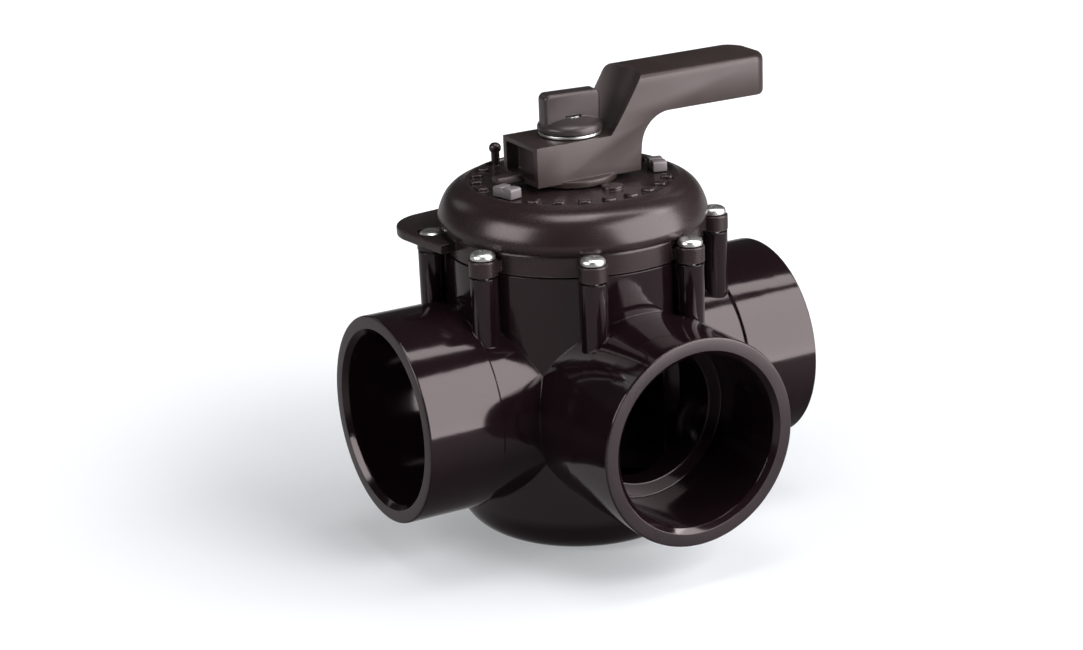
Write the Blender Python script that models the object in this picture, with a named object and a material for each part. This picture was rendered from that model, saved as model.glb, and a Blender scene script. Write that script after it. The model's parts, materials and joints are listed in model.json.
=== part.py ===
"""Three way diverter valve in black plastic, with a turning plug, a cranked handle and a lock knob.

Frame: metres, +Z up. The origin is at the middle of the flat foot, on the axis of the stem.
The left and right ports lie along -X and +X, the front port along -Y, and the back is a plain wall.
The handle points at the port that the plug closes, which is the right port at rest.
"""

import math

import bmesh
import bpy
from mathutils import Matrix, Vector

MM = 0.001
GAP = 0.3 * MM                      # running clearance that neighbouring pieces keep

# ---- driving dimensions: ports, for 2 inch pipe inside and 2 1/2 inch pipe outside
PORT_Z = 52.0 * MM
SIDE_REACH = 78.0 * MM
FRONT_REACH = 81.0 * MM
HUB_R = 36.5 * MM
HUB_LENGTH = 28.0 * MM
NECK_R = 35.6 * MM
SOCKET_R = 30.2 * MM
SOCKET_DEPTH = 34.0 * MM
PASSAGE_R = 25.0 * MM
MOUTH_R = 31.0 * MM
MOUTH_CHAMFER = 1.5 * MM
EDGE = 0.6 * MM
PORTS = {"left": (180.0, SIDE_REACH), "front": (-90.0, FRONT_REACH), "right": (0.0, SIDE_REACH)}

# ---- barrel
BARREL_R = 45.5 * MM
FOOT_R = 30.0 * MM
FOOT_ROUND = 14.5 * MM
BARREL_TOP = 102.7 * MM
CHAMBER_R = 38.0 * MM
CHAMBER_FLOOR = 12.0 * MM
RIM_BORE_R = 40.0 * MM
RIM_BORE_Z = 96.5 * MM
PIVOT_HOLE_R = 5.4 * MM
PIVOT_HOLE_Z = 7.0 * MM

# ---- the eight screw columns
SCREW_COUNT = 8
FIRST_SCREW_ANGLE = 22.5
SCREW_CIRCLE_R = 50.0 * MM
COLUMN_R = 4.8 * MM
COLUMN_FOOT_Z = 70.0 * MM
WEB_HALF = 2.2 * MM
PILOT_R = 2.6 * MM
PILOT_Z = 82.0 * MM
SHANK_R = 2.25 * MM
SHANK_LENGTH = 24.0 * MM
SCREW_HEAD_R = 4.3 * MM
SCREW_HEAD_H = 2.6 * MM

# ---- cover
FLANGE_Z = BARREL_TOP + GAP
FLANGE_R = 45.0 * MM
FLANGE_TOP = 109.8 * MM
EAR_R = 5.0 * MM
EAR_Z = FLANGE_Z + 0.4 * MM
EAR_TOP = 108.8 * MM
GUSSET_HALF = 3.6 * MM
DOME_EDGE_R = 46.2 * MM
DOME_EDGE_Z = 111.3 * MM
DOME_R = 47.4 * MM
PLATEAU_Z = 125.2 * MM
PLATEAU_R = 35.6 * MM
SPIGOT_R = 39.6 * MM
SPIGOT_Z = 97.0 * MM
SPIGOT_BORE_R = 34.5 * MM
COVER_WALL = 4.6 * MM
NECK_BOSS_R = 14.0 * MM
NECK_BOSS_Z = 99.2 * MM
STEM_BORE_R = 9.0 * MM
NUB_COUNT = 24
NUB_CIRCLE_R = 33.2 * MM
NUB_HALF = 2.1 * MM
NUB_CORNER = 0.8 * MM
NUB_H = 1.5 * MM
POST_ANGLE = 112.5
POST_R = (1.5 * MM, 2.2 * MM)       # neck and head
POST_CIRCLE_R = 34.0 * MM
POST_H = 8.4 * MM
BOSS_ANGLE = -75.6                  # low round boss in front of the handle's foot
BOSS_CIRCLE_R = 20.1 * MM
BOSS_R = 3.8 * MM
BOSS_H = 1.2 * MM
TAB_ANGLE = 145.6
TAB_CENTRE_R = 46.0 * MM
TAB_NOSE_R = 16.3 * MM
TAB_SIDES = (121.5, 178.0)          # where the tab's two sides run into the flange
TAB_SIDE_R = 51.4 * MM
TAB_Z = 106.2 * MM
TAB_TOP = 109.4 * MM
TAB_SCREW_ANGLE = 157.5
TAB_SCREW_SEAT = 107.0 * MM
COUNTERBORE_R = 4.9 * MM

# ---- stop tabs, pegged into the ring of nubs
STOP_ANGLES = (-165.0, -15.0)
STOP_CIRCLE_R = 31.0 * MM
STOP_LENGTH = 9.0 * MM
STOP_DEPTH = 5.0 * MM
STOP_H = 3.6 * MM
STOP_BRIDGE_H = 2.4 * MM
STOP_POST = 3.9 * MM
PEG_R = 1.5 * MM
PEG_LENGTH = 3.0 * MM

# ---- stem and plug
STEM_R = 8.7 * MM
PIVOT_R = 5.0 * MM
STEM_CORE_R = 7.5 * MM
PLUG_R = 37.3 * MM
PLUG_INNER_R = 31.0 * MM
PLUG_HALF_ANGLE = 44.0
PLUG_Z = (17.5 * MM, 87.0 * MM)
PLATE_H = 5.0 * MM
SEAL_R = (35.4 * MM, 37.7 * MM)
SEAL_HALF_ANGLE = 42.5
SEAL_Z = (22.5 * MM, 81.5 * MM)
COLLAR_R = 13.0 * MM
COLLAR_TOP = 97.4 * MM
WASHER_H = 0.9 * MM
DRIVE_HALF = 5.5 * MM
DRIVE_Z = 127.0 * MM
DRIVE_TOP = 138.6 * MM
STUD_HOLE_R = 4.3 * MM
STUD_HOLE_Z = 116.0 * MM

# ---- seals of round section: (major radius, section radius, height of the middle)
STEM_RING_R = 7.95 * MM
STEM_RING_SECTION = 0.7 * MM
STEM_RING_Z = {"stem_oring_lower": 106.0 * MM, "stem_oring_upper": 112.0 * MM}
STEM_GROOVE_R = 6.9 * MM
COVER_RING_R = 38.5 * MM
COVER_RING_SECTION = 0.95 * MM
COVER_RING_Z = 99.8 * MM
COVER_GROOVE_R = 37.2 * MM
GROOVE_HALF = 1.3 * MM

# ---- handle
HANDLE_HALF = 12.0 * MM
HUB_Z = 127.4 * MM
HUB_TOP = 141.4 * MM
HUB_TAIL_X = -20.0 * MM
RISER_BACK_X = 21.0 * MM
GRIP_Z = (146.8 * MM, 161.0 * MM)
GRIP_X = 69.0 * MM
GRIP_END_X = 77.0 * MM
CONE_R = (15.2 * MM, 25.2 * MM)     # hollow round the knob: radius at the hub's top and at the grip's top
FINGER_HALF = 2.2 * MM
FINGER_END_X = -30.4 * MM
FINGER_H = 2.8 * MM
SKIRT_R = (9.6 * MM, 16.0 * MM)     # round foot under the handle: bore and outside
SKIRT_Z = (125.8 * MM, 128.2 * MM)
TAIL_POCKET = (5.0 * MM, 7.5 * MM, 4.6 * MM)   # depth, half width, half height
STUD_CLEARANCE_R = 4.6 * MM

# ---- lock knob, with its washer and stud
KNOB_WASHER_R = 11.0 * MM
KNOB_WASHER_H = 1.0 * MM
KNOB_R = 11.4 * MM
KNOB_DOME_H = 7.4 * MM
KNOB_SKIRT_H = 1.6 * MM
WING_HALF = (10.4 * MM, 3.2 * MM)
WING_TOP = 156.6 * MM
WING_CORNER = 2.2 * MM
WING_ANGLE = -6.0
STUD_R = 4.0 * MM
STUD_Z = (118.0 * MM, 148.0 * MM)
KNOB_SOCKET_Z = 148.4 * MM

BODY_SEGMENTS = 40
PORT_SEGMENTS = 36
COVER_SEGMENTS = 40
ROUND_SEGMENTS = 24
SMALL_SEGMENTS = 16
SCREW_SEGMENTS = 10


# ---------------------------------------------------------------- helpers

def clear_scene():
    for item in list(bpy.data.objects):
        bpy.data.objects.remove(item, do_unlink=True)


def plastic(name, colour, roughness):
    return surface(name, colour, roughness, 0.0)


def surface(name, colour, roughness, metallic):
    material = bpy.data.materials.new(name)
    material.use_nodes = True
    shader = material.node_tree.nodes["Principled BSDF"]
    shader.inputs["Base Color"].default_value = (*colour, 1.0)
    shader.inputs["Roughness"].default_value = roughness
    shader.inputs["Metallic"].default_value = metallic
    return material


def polar(radius, degrees, z=0.0):
    angle = math.radians(degrees)
    return Vector((radius * math.cos(angle), radius * math.sin(angle), z))


def turn(degrees):
    return Matrix.Rotation(math.radians(degrees), 4, "Z")


def arc(centre, radius, start, end, steps):
    """Points (r, z) of an arc round centre, from start to end in degrees."""
    points = []
    for step in range(steps + 1):
        angle = math.radians(start + (end - start) * step / steps)
        points.append((centre[0] + radius * math.cos(angle), centre[1] + radius * math.sin(angle)))
    return points


def spun(profile, segments, ring=False):
    """Turns (r, z) points round Z. A ring's profile closes on itself; any other gets flat end caps."""
    bm = bmesh.new()
    verts = [bm.verts.new((r, 0.0, z)) for r, z in profile]
    edges = [bm.edges.new((a, b)) for a, b in zip(verts, verts[1:])]
    if ring:
        edges.append(bm.edges.new((verts[-1], verts[0])))
    bmesh.ops.spin(bm, geom=verts + edges, cent=(0, 0, 0), axis=(0, 0, 1), angle=math.tau,
                   steps=segments, use_merge=True)
    if not ring:
        bmesh.ops.holes_fill(bm, edges=[edge for edge in bm.edges if edge.is_boundary])
    bmesh.ops.recalc_face_normals(bm, faces=bm.faces)
    return bm


def plug_cutter(radius, bottom, top, segments):
    return spun([(radius, bottom), (radius, top)], segments)


def prism(outline, bottom, top):
    """An outline of (x, y) points raised from bottom to top along Z."""
    bm = bmesh.new()
    face = bm.faces.new([bm.verts.new((x, y, bottom)) for x, y in outline])
    raised = bmesh.ops.extrude_face_region(bm, geom=[face])["geom"]
    rim = [item for item in raised if isinstance(item, bmesh.types.BMVert)]
    bmesh.ops.translate(bm, verts=rim, vec=(0, 0, top - bottom))
    bmesh.ops.recalc_face_normals(bm, faces=bm.faces)
    return bm


def block(low, high):
    return prism([(low[0], low[1]), (high[0], low[1]), (high[0], high[1]), (low[0], high[1])],
                 low[2], high[2])


def copies(bm, matrices):
    """One mesh of separate copies of a shape, each placed by its matrix."""
    single = bpy.data.meshes.new("shape")
    bm.to_mesh(single)
    bm.free()
    group = bmesh.new()
    for matrix in matrices:
        before = len(group.verts)
        group.from_mesh(single)
        group.verts.ensure_lookup_table()
        bmesh.ops.transform(group, matrix=matrix, verts=group.verts[before:])
    bpy.data.meshes.remove(single)
    return group


def add_object(name, bm, material=None, parent=None, sharp=35.0):
    mesh = bpy.data.meshes.new(name)
    bm.to_mesh(mesh)
    bm.free()
    mesh.shade_smooth()
    mesh.set_sharp_from_angle(angle=math.radians(sharp))
    item = bpy.data.objects.new(name, mesh)
    bpy.context.scene.collection.objects.link(item)
    item.parent = parent
    if material:
        mesh.materials.append(material)
    return item


def shape_with(item, bm, operation):
    """Adds or cuts a shape with a Boolean, and keeps its operand as a hidden wire object."""
    count = len([m for m in item.modifiers if m.type == "BOOLEAN"])
    tool = add_object(f"{item.name}_tool_{count + 1}", bm)
    tool.hide_render = True
    tool.display_type = "WIRE"
    modifier = item.modifiers.new(tool.name, "BOOLEAN")
    modifier.object = tool
    modifier.operation = operation
    modifier.solver = "EXACT"


def join_to(item, bm):
    shape_with(item, bm, "UNION")


def cut_from(item, bm):
    shape_with(item, bm, "DIFFERENCE")


def soften(item, width, segments=2, angle=40.0):
    modifier = item.modifiers.new("edges", "BEVEL")
    modifier.width = width
    modifier.segments = segments
    modifier.limit_method = "ANGLE"
    modifier.angle_limit = math.radians(angle)


def axis_empty(name, z):
    empty = bpy.data.objects.new(name, None)
    empty.location = (0.0, 0.0, z)
    bpy.context.scene.collection.objects.link(empty)
    bpy.context.view_layer.update()
    return empty


def attach(item, parent):
    """Parents an object and keeps it where it is."""
    item.parent = parent
    item.matrix_parent_inverse = parent.matrix_world.inverted()


# ---------------------------------------------------------------- fixed pieces

def port_matrix(degrees):
    """Turns a shape made along +Z so that it lies along the port's axis at the port's height."""
    along = Matrix.Rotation(math.radians(90.0), 4, "Y")
    return Matrix.Translation((0.0, 0.0, PORT_Z)) @ turn(degrees) @ along


def port_outside(reach):
    hub_start = reach - HUB_LENGTH
    return [(NECK_R, 0.0), (NECK_R, hub_start - EDGE), (HUB_R, hub_start), (HUB_R, reach - EDGE),
            (HUB_R - EDGE, reach)]


def port_inside(reach):
    shoulder = reach - SOCKET_DEPTH
    beyond = 2.0 * MOUTH_R - SOCKET_R
    return [(PASSAGE_R, 0.0), (PASSAGE_R, shoulder), (SOCKET_R, shoulder),
            (SOCKET_R, reach - MOUTH_CHAMFER), (beyond, reach + MOUTH_CHAMFER)]


def screw_angles():
    return [FIRST_SCREW_ANGLE + 360.0 / SCREW_COUNT * index for index in range(SCREW_COUNT)]


def screw_matrices():
    return [turn(angle) @ Matrix.Translation((SCREW_CIRCLE_R, 0.0, 0.0)) for angle in screw_angles()]


def make_body(material):
    above = BARREL_TOP + MM
    outside = arc((FOOT_R, FOOT_ROUND), FOOT_ROUND, -90.0, 0.0, 5)
    outside += [(BARREL_R, PORT_Z - HUB_R), (BARREL_R, above)]
    body = add_object("valve_body", spun(outside, BODY_SEGMENTS), material)
    for degrees, reach in PORTS.values():
        outer = spun(port_outside(reach), PORT_SEGMENTS)
        bmesh.ops.transform(outer, matrix=port_matrix(degrees), verts=outer.verts)
        join_to(body, outer)
    column = [(2.0 * MM, COLUMN_FOOT_Z), (COLUMN_R - EDGE, COLUMN_FOOT_Z + 9.0 * MM), (COLUMN_R, above)]
    join_to(body, copies(spun(column, SMALL_SEGMENTS), screw_matrices()))
    web = block((-8.0 * MM, -WEB_HALF, COLUMN_FOOT_Z + 6.0 * MM), (-1.0 * MM, WEB_HALF, above - 0.5 * MM))
    join_to(body, copies(web, screw_matrices()))
    outer = SCREW_CIRCLE_R + 2.0 * COLUMN_R
    chamber = [(PIVOT_HOLE_R, PIVOT_HOLE_Z), (PIVOT_HOLE_R, CHAMBER_FLOOR),
               (CHAMBER_R - 5.0 * MM, CHAMBER_FLOOR), (CHAMBER_R, CHAMBER_FLOOR + 5.0 * MM),
               (CHAMBER_R, RIM_BORE_Z - 1.0 * MM), (RIM_BORE_R, RIM_BORE_Z),
               (RIM_BORE_R, BARREL_TOP), (outer, BARREL_TOP), (outer, above + MM)]
    cut_from(body, spun(chamber, BODY_SEGMENTS))
    for degrees, reach in PORTS.values():
        inner = spun(port_inside(reach), PORT_SEGMENTS)
        bmesh.ops.transform(inner, matrix=port_matrix(degrees), verts=inner.verts)
        cut_from(body, inner)
    pilot = plug_cutter(PILOT_R, PILOT_Z, BARREL_TOP + MM, SMALL_SEGMENTS)
    cut_from(body, copies(pilot, screw_matrices()))
    return body


def cover_profile():
    """The section of the cover's round part, from the stem's bore over the top and back under."""
    inner_top = PLATEAU_Z - COVER_WALL
    top = [(STEM_BORE_R, PLATEAU_Z), (PLATEAU_R, PLATEAU_Z),
           (PLATEAU_R + 0.5 * MM, PLATEAU_Z + 0.8 * MM), (PLATEAU_R + 1.5 * MM, PLATEAU_Z + 0.8 * MM)]
    shoulder = [(40.2 * MM, 124.6 * MM), (43.4 * MM, 122.3 * MM), (45.9 * MM, 119.2 * MM),
                (47.1 * MM, 116.2 * MM), (DOME_R, 113.8 * MM), (DOME_R - 0.3 * MM, 112.2 * MM)]
    edge = [(DOME_EDGE_R, DOME_EDGE_Z), (FLANGE_R - 0.6 * MM, DOME_EDGE_Z - 0.5 * MM),
            (FLANGE_R, FLANGE_TOP), (FLANGE_R, FLANGE_Z)]
    spigot = [(SPIGOT_R, FLANGE_Z), (SPIGOT_R, COVER_RING_Z + GROOVE_HALF),
              (COVER_GROOVE_R, COVER_RING_Z + GROOVE_HALF), (COVER_GROOVE_R, COVER_RING_Z - GROOVE_HALF),
              (SPIGOT_R, COVER_RING_Z - GROOVE_HALF), (SPIGOT_R, SPIGOT_Z), (SPIGOT_BORE_R, SPIGOT_Z)]
    inside = [(SPIGOT_BORE_R, inner_top - 6.0 * MM), (SPIGOT_BORE_R - 5.0 * MM, inner_top),
              (NECK_BOSS_R, inner_top), (NECK_BOSS_R, NECK_BOSS_Z), (STEM_BORE_R, NECK_BOSS_Z)]
    return top + shoulder + edge + spigot + inside


def nub_angles():
    """The ring's positions, without those that the stop tabs and the post take."""
    step = 360.0 / NUB_COUNT
    angles = [step * (index + 0.5) for index in range(NUB_COUNT)]
    taken = [*STOP_ANGLES, POST_ANGLE]
    return [a for a in angles if all(abs((a - t + 180.0) % 360.0 - 180.0) > step / 2 + 0.1 for t in taken)]


def nub_shape():
    """A low square nub with its corners cut off."""
    side = NUB_HALF
    corner = NUB_HALF - NUB_CORNER
    outline = [(side, -corner), (side, corner), (corner, side), (-corner, side),
               (-side, corner), (-side, -corner), (-corner, -side), (corner, -side)]
    return prism(outline, PLATEAU_Z - 0.5 * MM, PLATEAU_Z + NUB_H)


def tab_outline():
    """The tab seen from above: a round nose, and two straight sides that run back into the flange."""
    inner = FLANGE_R - 5.0 * MM
    nose = polar(TAB_CENTRE_R, TAB_ANGLE)
    points = [polar(inner, TAB_SIDES[0] + 3.0), polar(TAB_SIDE_R, TAB_SIDES[0])]
    points += [nose + polar(TAB_NOSE_R, TAB_ANGLE + 13.0 * step) for step in range(-4, 4)]
    points += [polar(TAB_SIDE_R, TAB_SIDES[1]), polar(inner, TAB_SIDES[1] - 3.0)]
    return [point.xy for point in points]


def make_cover(material):
    cover = add_object("cover", spun(cover_profile(), COVER_SEGMENTS, ring=True), material)
    ear = [(EAR_R, EAR_Z), (EAR_R, EAR_TOP - EDGE), (EAR_R - EDGE, EAR_TOP)]
    join_to(cover, copies(spun(ear, SMALL_SEGMENTS), screw_matrices()))
    gusset = block((-8.0 * MM, -GUSSET_HALF, EAR_Z + 0.5 * MM), (-1.0 * MM, GUSSET_HALF, EAR_TOP - MM))
    join_to(cover, copies(gusset, screw_matrices()))
    trim = plug_cutter(FLANGE_R - MM, TAB_Z - MM, TAB_TOP + MM, COVER_SEGMENTS)
    tab_item = add_object("tab_blank", prism(tab_outline(), TAB_Z, TAB_TOP))
    tab_item.hide_render = True
    tab_item.display_type = "WIRE"
    cut_from(tab_item, trim)
    union = cover.modifiers.new("tab", "BOOLEAN")
    union.object = tab_item
    union.operation = "UNION"
    union.solver = "EXACT"
    join_to(cover, copies(nub_shape(), [turn(a) @ Matrix.Translation((NUB_CIRCLE_R, 0, 0))
                                        for a in nub_angles()]))
    neck, head = POST_R
    post_top = PLATEAU_Z + POST_H
    post = spun([(neck, PLATEAU_Z - MM), (neck, post_top - 4.4 * MM), (head, post_top - 3.4 * MM),
                 (head, post_top - 1.0 * MM), (neck, post_top)], SMALL_SEGMENTS)
    join_to(cover, copies(post, [turn(POST_ANGLE) @ Matrix.Translation((POST_CIRCLE_R, 0, 0))]))
    boss = plug_cutter(BOSS_R, PLATEAU_Z - MM, PLATEAU_Z + BOSS_H, SMALL_SEGMENTS)
    join_to(cover, copies(boss, [turn(BOSS_ANGLE) @ Matrix.Translation((BOSS_CIRCLE_R, 0, 0))]))
    hole = plug_cutter(PILOT_R, FLANGE_Z - MM, EAR_TOP + 2.0 * MM, SMALL_SEGMENTS)
    cut_from(cover, copies(hole, screw_matrices()))
    counterbore = plug_cutter(COUNTERBORE_R, TAB_SCREW_SEAT, TAB_TOP + MM, SMALL_SEGMENTS)
    seat = turn(TAB_SCREW_ANGLE) @ Matrix.Translation((SCREW_CIRCLE_R, 0, 0))
    cut_from(cover, copies(counterbore, [seat]))
    peg_hole = plug_cutter(PEG_R + GAP, PLATEAU_Z - PEG_LENGTH - GAP, PLATEAU_Z + MM, SCREW_SEGMENTS)
    cut_from(cover, copies(peg_hole, [turn(a) @ Matrix.Translation((STOP_CIRCLE_R, 0, 0))
                                      for a in STOP_ANGLES]))
    return cover


def screw_shape():
    """A pan head screw standing on z = 0, with its shank below and a cross recess in the head."""
    profile = [(SHANK_R * 0.5, -SHANK_LENGTH), (SHANK_R, -SHANK_LENGTH + 2.5 * MM), (SHANK_R, 0.0),
               (SCREW_HEAD_R, 0.0), (SCREW_HEAD_R, 0.9 * MM), (3.4 * MM, 2.0 * MM), (2.2 * MM, SCREW_HEAD_H)]
    return spun(profile, SCREW_SEGMENTS)


def cross_recess():
    arm = 1.8 * MM
    half = 0.5 * MM
    outline = [(arm, -half), (arm, half), (half, half), (half, arm), (-half, arm), (-half, half),
               (-arm, half), (-arm, -half), (-half, -half), (-half, -arm), (half, -arm), (half, -half)]
    return prism(outline, 1.2 * MM, SCREW_HEAD_H + MM)


def make_screws(material):
    for index, angle in enumerate(screw_angles()):
        seat = TAB_SCREW_SEAT if angle == TAB_SCREW_ANGLE else EAR_TOP
        screw = add_object(f"cover_screw_{index + 1}", screw_shape(), material)
        place = Matrix.Translation(polar(SCREW_CIRCLE_R, angle, seat + GAP)) @ turn(angle * 3.0)
        screw.matrix_world = place
        recess = cross_recess()
        bmesh.ops.transform(recess, matrix=place, verts=recess.verts)
        cut_from(screw, recess)


def ring_shape(major, section, z, segments, sides):
    profile = arc((major, z), section, 0.0, -360.0 + 360.0 / sides, sides - 1)
    return spun(profile, segments, ring=True)


def make_stop_tabs(material):
    half = STOP_LENGTH / 2
    depth = STOP_DEPTH / 2
    low = PLATEAU_Z + GAP
    outline = [(-half, low), (half, low), (half, low + STOP_H), (half - STOP_POST, low + STOP_H),
               (half - STOP_POST, low + STOP_BRIDGE_H), (STOP_POST - half, low + STOP_BRIDGE_H),
               (STOP_POST - half, low + STOP_H), (-half, low + STOP_H)]
    upright = Matrix(((0, 0, 1, 0), (1, 0, 0, 0), (0, 1, 0, 0), (0, 0, 0, 1)))
    for index, angle in enumerate(STOP_ANGLES):
        place = turn(angle) @ Matrix.Translation((STOP_CIRCLE_R, 0, 0))
        bm = prism(outline, -depth, depth)
        bmesh.ops.transform(bm, matrix=place @ upright, verts=bm.verts)
        tab = add_object(f"stop_tab_{index + 1}", bm, material)
        peg = plug_cutter(PEG_R, PLATEAU_Z - PEG_LENGTH, low + MM, SCREW_SEGMENTS)
        bmesh.ops.transform(peg, matrix=place, verts=peg.verts)
        join_to(tab, peg)


# ---------------------------------------------------------------- turning pieces

def sector(inner, outer, half_angle, bottom, top, steps=14):
    """A curved wall between two radii, centred on +X."""
    outline = []
    for step in range(steps + 1):
        outline.append(polar(outer, -half_angle + 2 * half_angle * step / steps).xy)
    if inner > 0.0:
        for step in range(steps + 1):
            outline.append(polar(inner, half_angle - 2 * half_angle * step / steps).xy)
    else:
        outline.append((0.0, 0.0))
    return prism(outline, bottom, top)


def stem_profile():
    points = [(PIVOT_R, PIVOT_HOLE_Z + GAP), (PIVOT_R, PLUG_Z[0] - 3.0 * MM),
              (STEM_CORE_R, PLUG_Z[0] - 3.0 * MM), (STEM_CORE_R, PLUG_Z[1]), (COLLAR_R, PLUG_Z[1]),
              (COLLAR_R, COLLAR_TOP), (STEM_R, COLLAR_TOP)]
    for z in sorted(STEM_RING_Z.values()):
        points += [(STEM_R, z - GROOVE_HALF), (STEM_GROOVE_R, z - GROOVE_HALF),
                   (STEM_GROOVE_R, z + GROOVE_HALF), (STEM_R, z + GROOVE_HALF)]
    return points + [(STEM_R, DRIVE_Z)]


def make_diverter(material, parent):
    diverter = add_object("diverter", spun(stem_profile(), ROUND_SEGMENTS), material)
    join_to(diverter, sector(PLUG_INNER_R, PLUG_R, PLUG_HALF_ANGLE, *PLUG_Z))
    for bottom in (PLUG_Z[0], PLUG_Z[1] - PLATE_H):
        join_to(diverter, sector(0.0, PLUG_INNER_R + 2.0 * MM, PLUG_HALF_ANGLE - 2.0, bottom,
                                 bottom + PLATE_H))
    rib = block((0.0, -2.0 * MM, PLUG_Z[0] + MM), (PLUG_INNER_R + MM, 2.0 * MM, PLUG_Z[1] - MM))
    join_to(diverter, rib)
    join_to(diverter, block((-DRIVE_HALF, -DRIVE_HALF, DRIVE_Z - 2.0 * MM), (DRIVE_HALF, DRIVE_HALF, DRIVE_TOP)))
    cut_from(diverter, plug_cutter(STUD_HOLE_R, STUD_HOLE_Z, DRIVE_TOP + MM, SMALL_SEGMENTS))
    pocket_half = SEAL_HALF_ANGLE + 0.5
    cut_from(diverter, sector(SEAL_R[0] - GAP, PLUG_R + 2.0 * MM, pocket_half, SEAL_Z[0] - GAP,
                              SEAL_Z[1] + GAP))
    attach(diverter, parent)
    return diverter


def make_seal(material, parent):
    seal = add_object("diverter_seal", sector(*SEAL_R, SEAL_HALF_ANGLE, *SEAL_Z), material)
    attach(seal, parent)


def make_stem_rings(material, parent):
    for name, z in STEM_RING_Z.items():
        ring = add_object(name, ring_shape(STEM_RING_R, STEM_RING_SECTION, z, ROUND_SEGMENTS, 5), material)
        attach(ring, parent)


def make_thrust_washer(material, parent):
    low = COLLAR_TOP + GAP
    profile = [(STEM_R + GAP, low + WASHER_H), (COLLAR_R - 0.5 * MM, low + WASHER_H),
               (COLLAR_R - 0.5 * MM, low), (STEM_R + GAP, low)]
    washer = add_object("thrust_washer", spun(profile, ROUND_SEGMENTS, ring=True), material)
    attach(washer, parent)


def handle_outline():
    """The handle's side view in x and z: hub, riser and grip, with a round fillet under the grip."""
    under_left = (35.5 * MM, GRIP_Z[0] + 0.8 * MM)
    fillet = []
    for step in range(6):
        angle = math.radians(90.0 + 78.0 * step / 5)
        fillet.append((under_left[0] + 11.5 * MM * math.cos(angle),
                       under_left[1] - 11.5 * MM + 11.5 * MM * math.sin(angle)))
    return ([(HUB_TAIL_X, HUB_Z), (HUB_TAIL_X, HUB_TOP), (4.0 * MM, HUB_TOP), (4.0 * MM, GRIP_Z[1] + 0.2 * MM),
             (GRIP_END_X - 2.0 * MM, GRIP_Z[1] - 0.6 * MM), (GRIP_END_X, GRIP_Z[1] - 3.0 * MM),
             (GRIP_END_X, GRIP_Z[0] + 2.0 * MM), (GRIP_END_X - 2.0 * MM, GRIP_Z[0])]
            + fillet + [(RISER_BACK_X, HUB_Z)])


def grip_plan():
    """The outline seen from above, with a bowed end to the grip."""
    depth = GRIP_END_X - GRIP_X
    points = [(HUB_TAIL_X - MM, -HANDLE_HALF), (GRIP_X, -HANDLE_HALF)]
    for step in range(1, 10):
        angle = math.radians(-90.0 + 18.0 * step)
        points.append((GRIP_X + depth * math.cos(angle), HANDLE_HALF * math.sin(angle)))
    return points + [(GRIP_X, HANDLE_HALF), (HUB_TAIL_X - MM, HANDLE_HALF)]


def make_handle(material, parent):
    side = prism([(x, z) for x, z in handle_outline()], -HANDLE_HALF - MM, HANDLE_HALF + MM)
    upright = Matrix(((1, 0, 0, 0), (0, 0, -1, 0), (0, 1, 0, 0), (0, 0, 0, 1)))
    bmesh.ops.transform(side, matrix=upright, verts=side.verts)
    bmesh.ops.recalc_face_normals(side, faces=side.faces)
    handle = add_object("handle", side, material)
    shape_with(handle, prism(grip_plan(), HUB_Z - MM, GRIP_Z[1] + 3.0 * MM), "INTERSECT")
    slope = (CONE_R[1] - CONE_R[0]) / (GRIP_Z[1] - HUB_TOP)
    high = GRIP_Z[1] + 4.0 * MM
    hollow = [(CONE_R[0], HUB_TOP), (CONE_R[0] + slope * (high - HUB_TOP), high)]
    cut_from(handle, spun(hollow, COVER_SEGMENTS))
    soften(handle, 0.7 * MM, 1, 65.0)
    low = HUB_Z + GAP
    finger = block((FINGER_END_X, -FINGER_HALF, low), (HUB_TAIL_X + MM, FINGER_HALF, low + FINGER_H))
    join_to(handle, finger)
    bore_r, skirt_r = SKIRT_R
    skirt_low, skirt_top = SKIRT_Z
    skirt = [(bore_r, skirt_low), (bore_r, skirt_top), (skirt_r, skirt_top), (skirt_r, skirt_low)]
    join_to(handle, spun(skirt, ROUND_SEGMENTS, ring=True))
    depth, half_width, half_height = TAIL_POCKET
    middle = (HUB_Z + HUB_TOP) / 2
    cut_from(handle, block((HUB_TAIL_X - MM, -half_width, middle - half_height),
                           (HUB_TAIL_X + depth, half_width, middle + half_height)))
    drive = DRIVE_HALF + GAP
    cut_from(handle, block((-drive, -drive, HUB_Z - MM), (drive, drive, DRIVE_TOP + GAP)))
    cut_from(handle, plug_cutter(STUD_CLEARANCE_R, DRIVE_TOP, HUB_TOP + MM, SMALL_SEGMENTS))
    attach(handle, parent)


# ---------------------------------------------------------------- lock knob

def make_knob_washer(material, parent):
    low = HUB_TOP + GAP
    profile = [(STUD_CLEARANCE_R, low + KNOB_WASHER_H), (KNOB_WASHER_R, low + KNOB_WASHER_H),
               (KNOB_WASHER_R, low), (STUD_CLEARANCE_R, low)]
    washer = add_object("knob_washer", spun(profile, ROUND_SEGMENTS, ring=True), material)
    attach(washer, parent)


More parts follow.
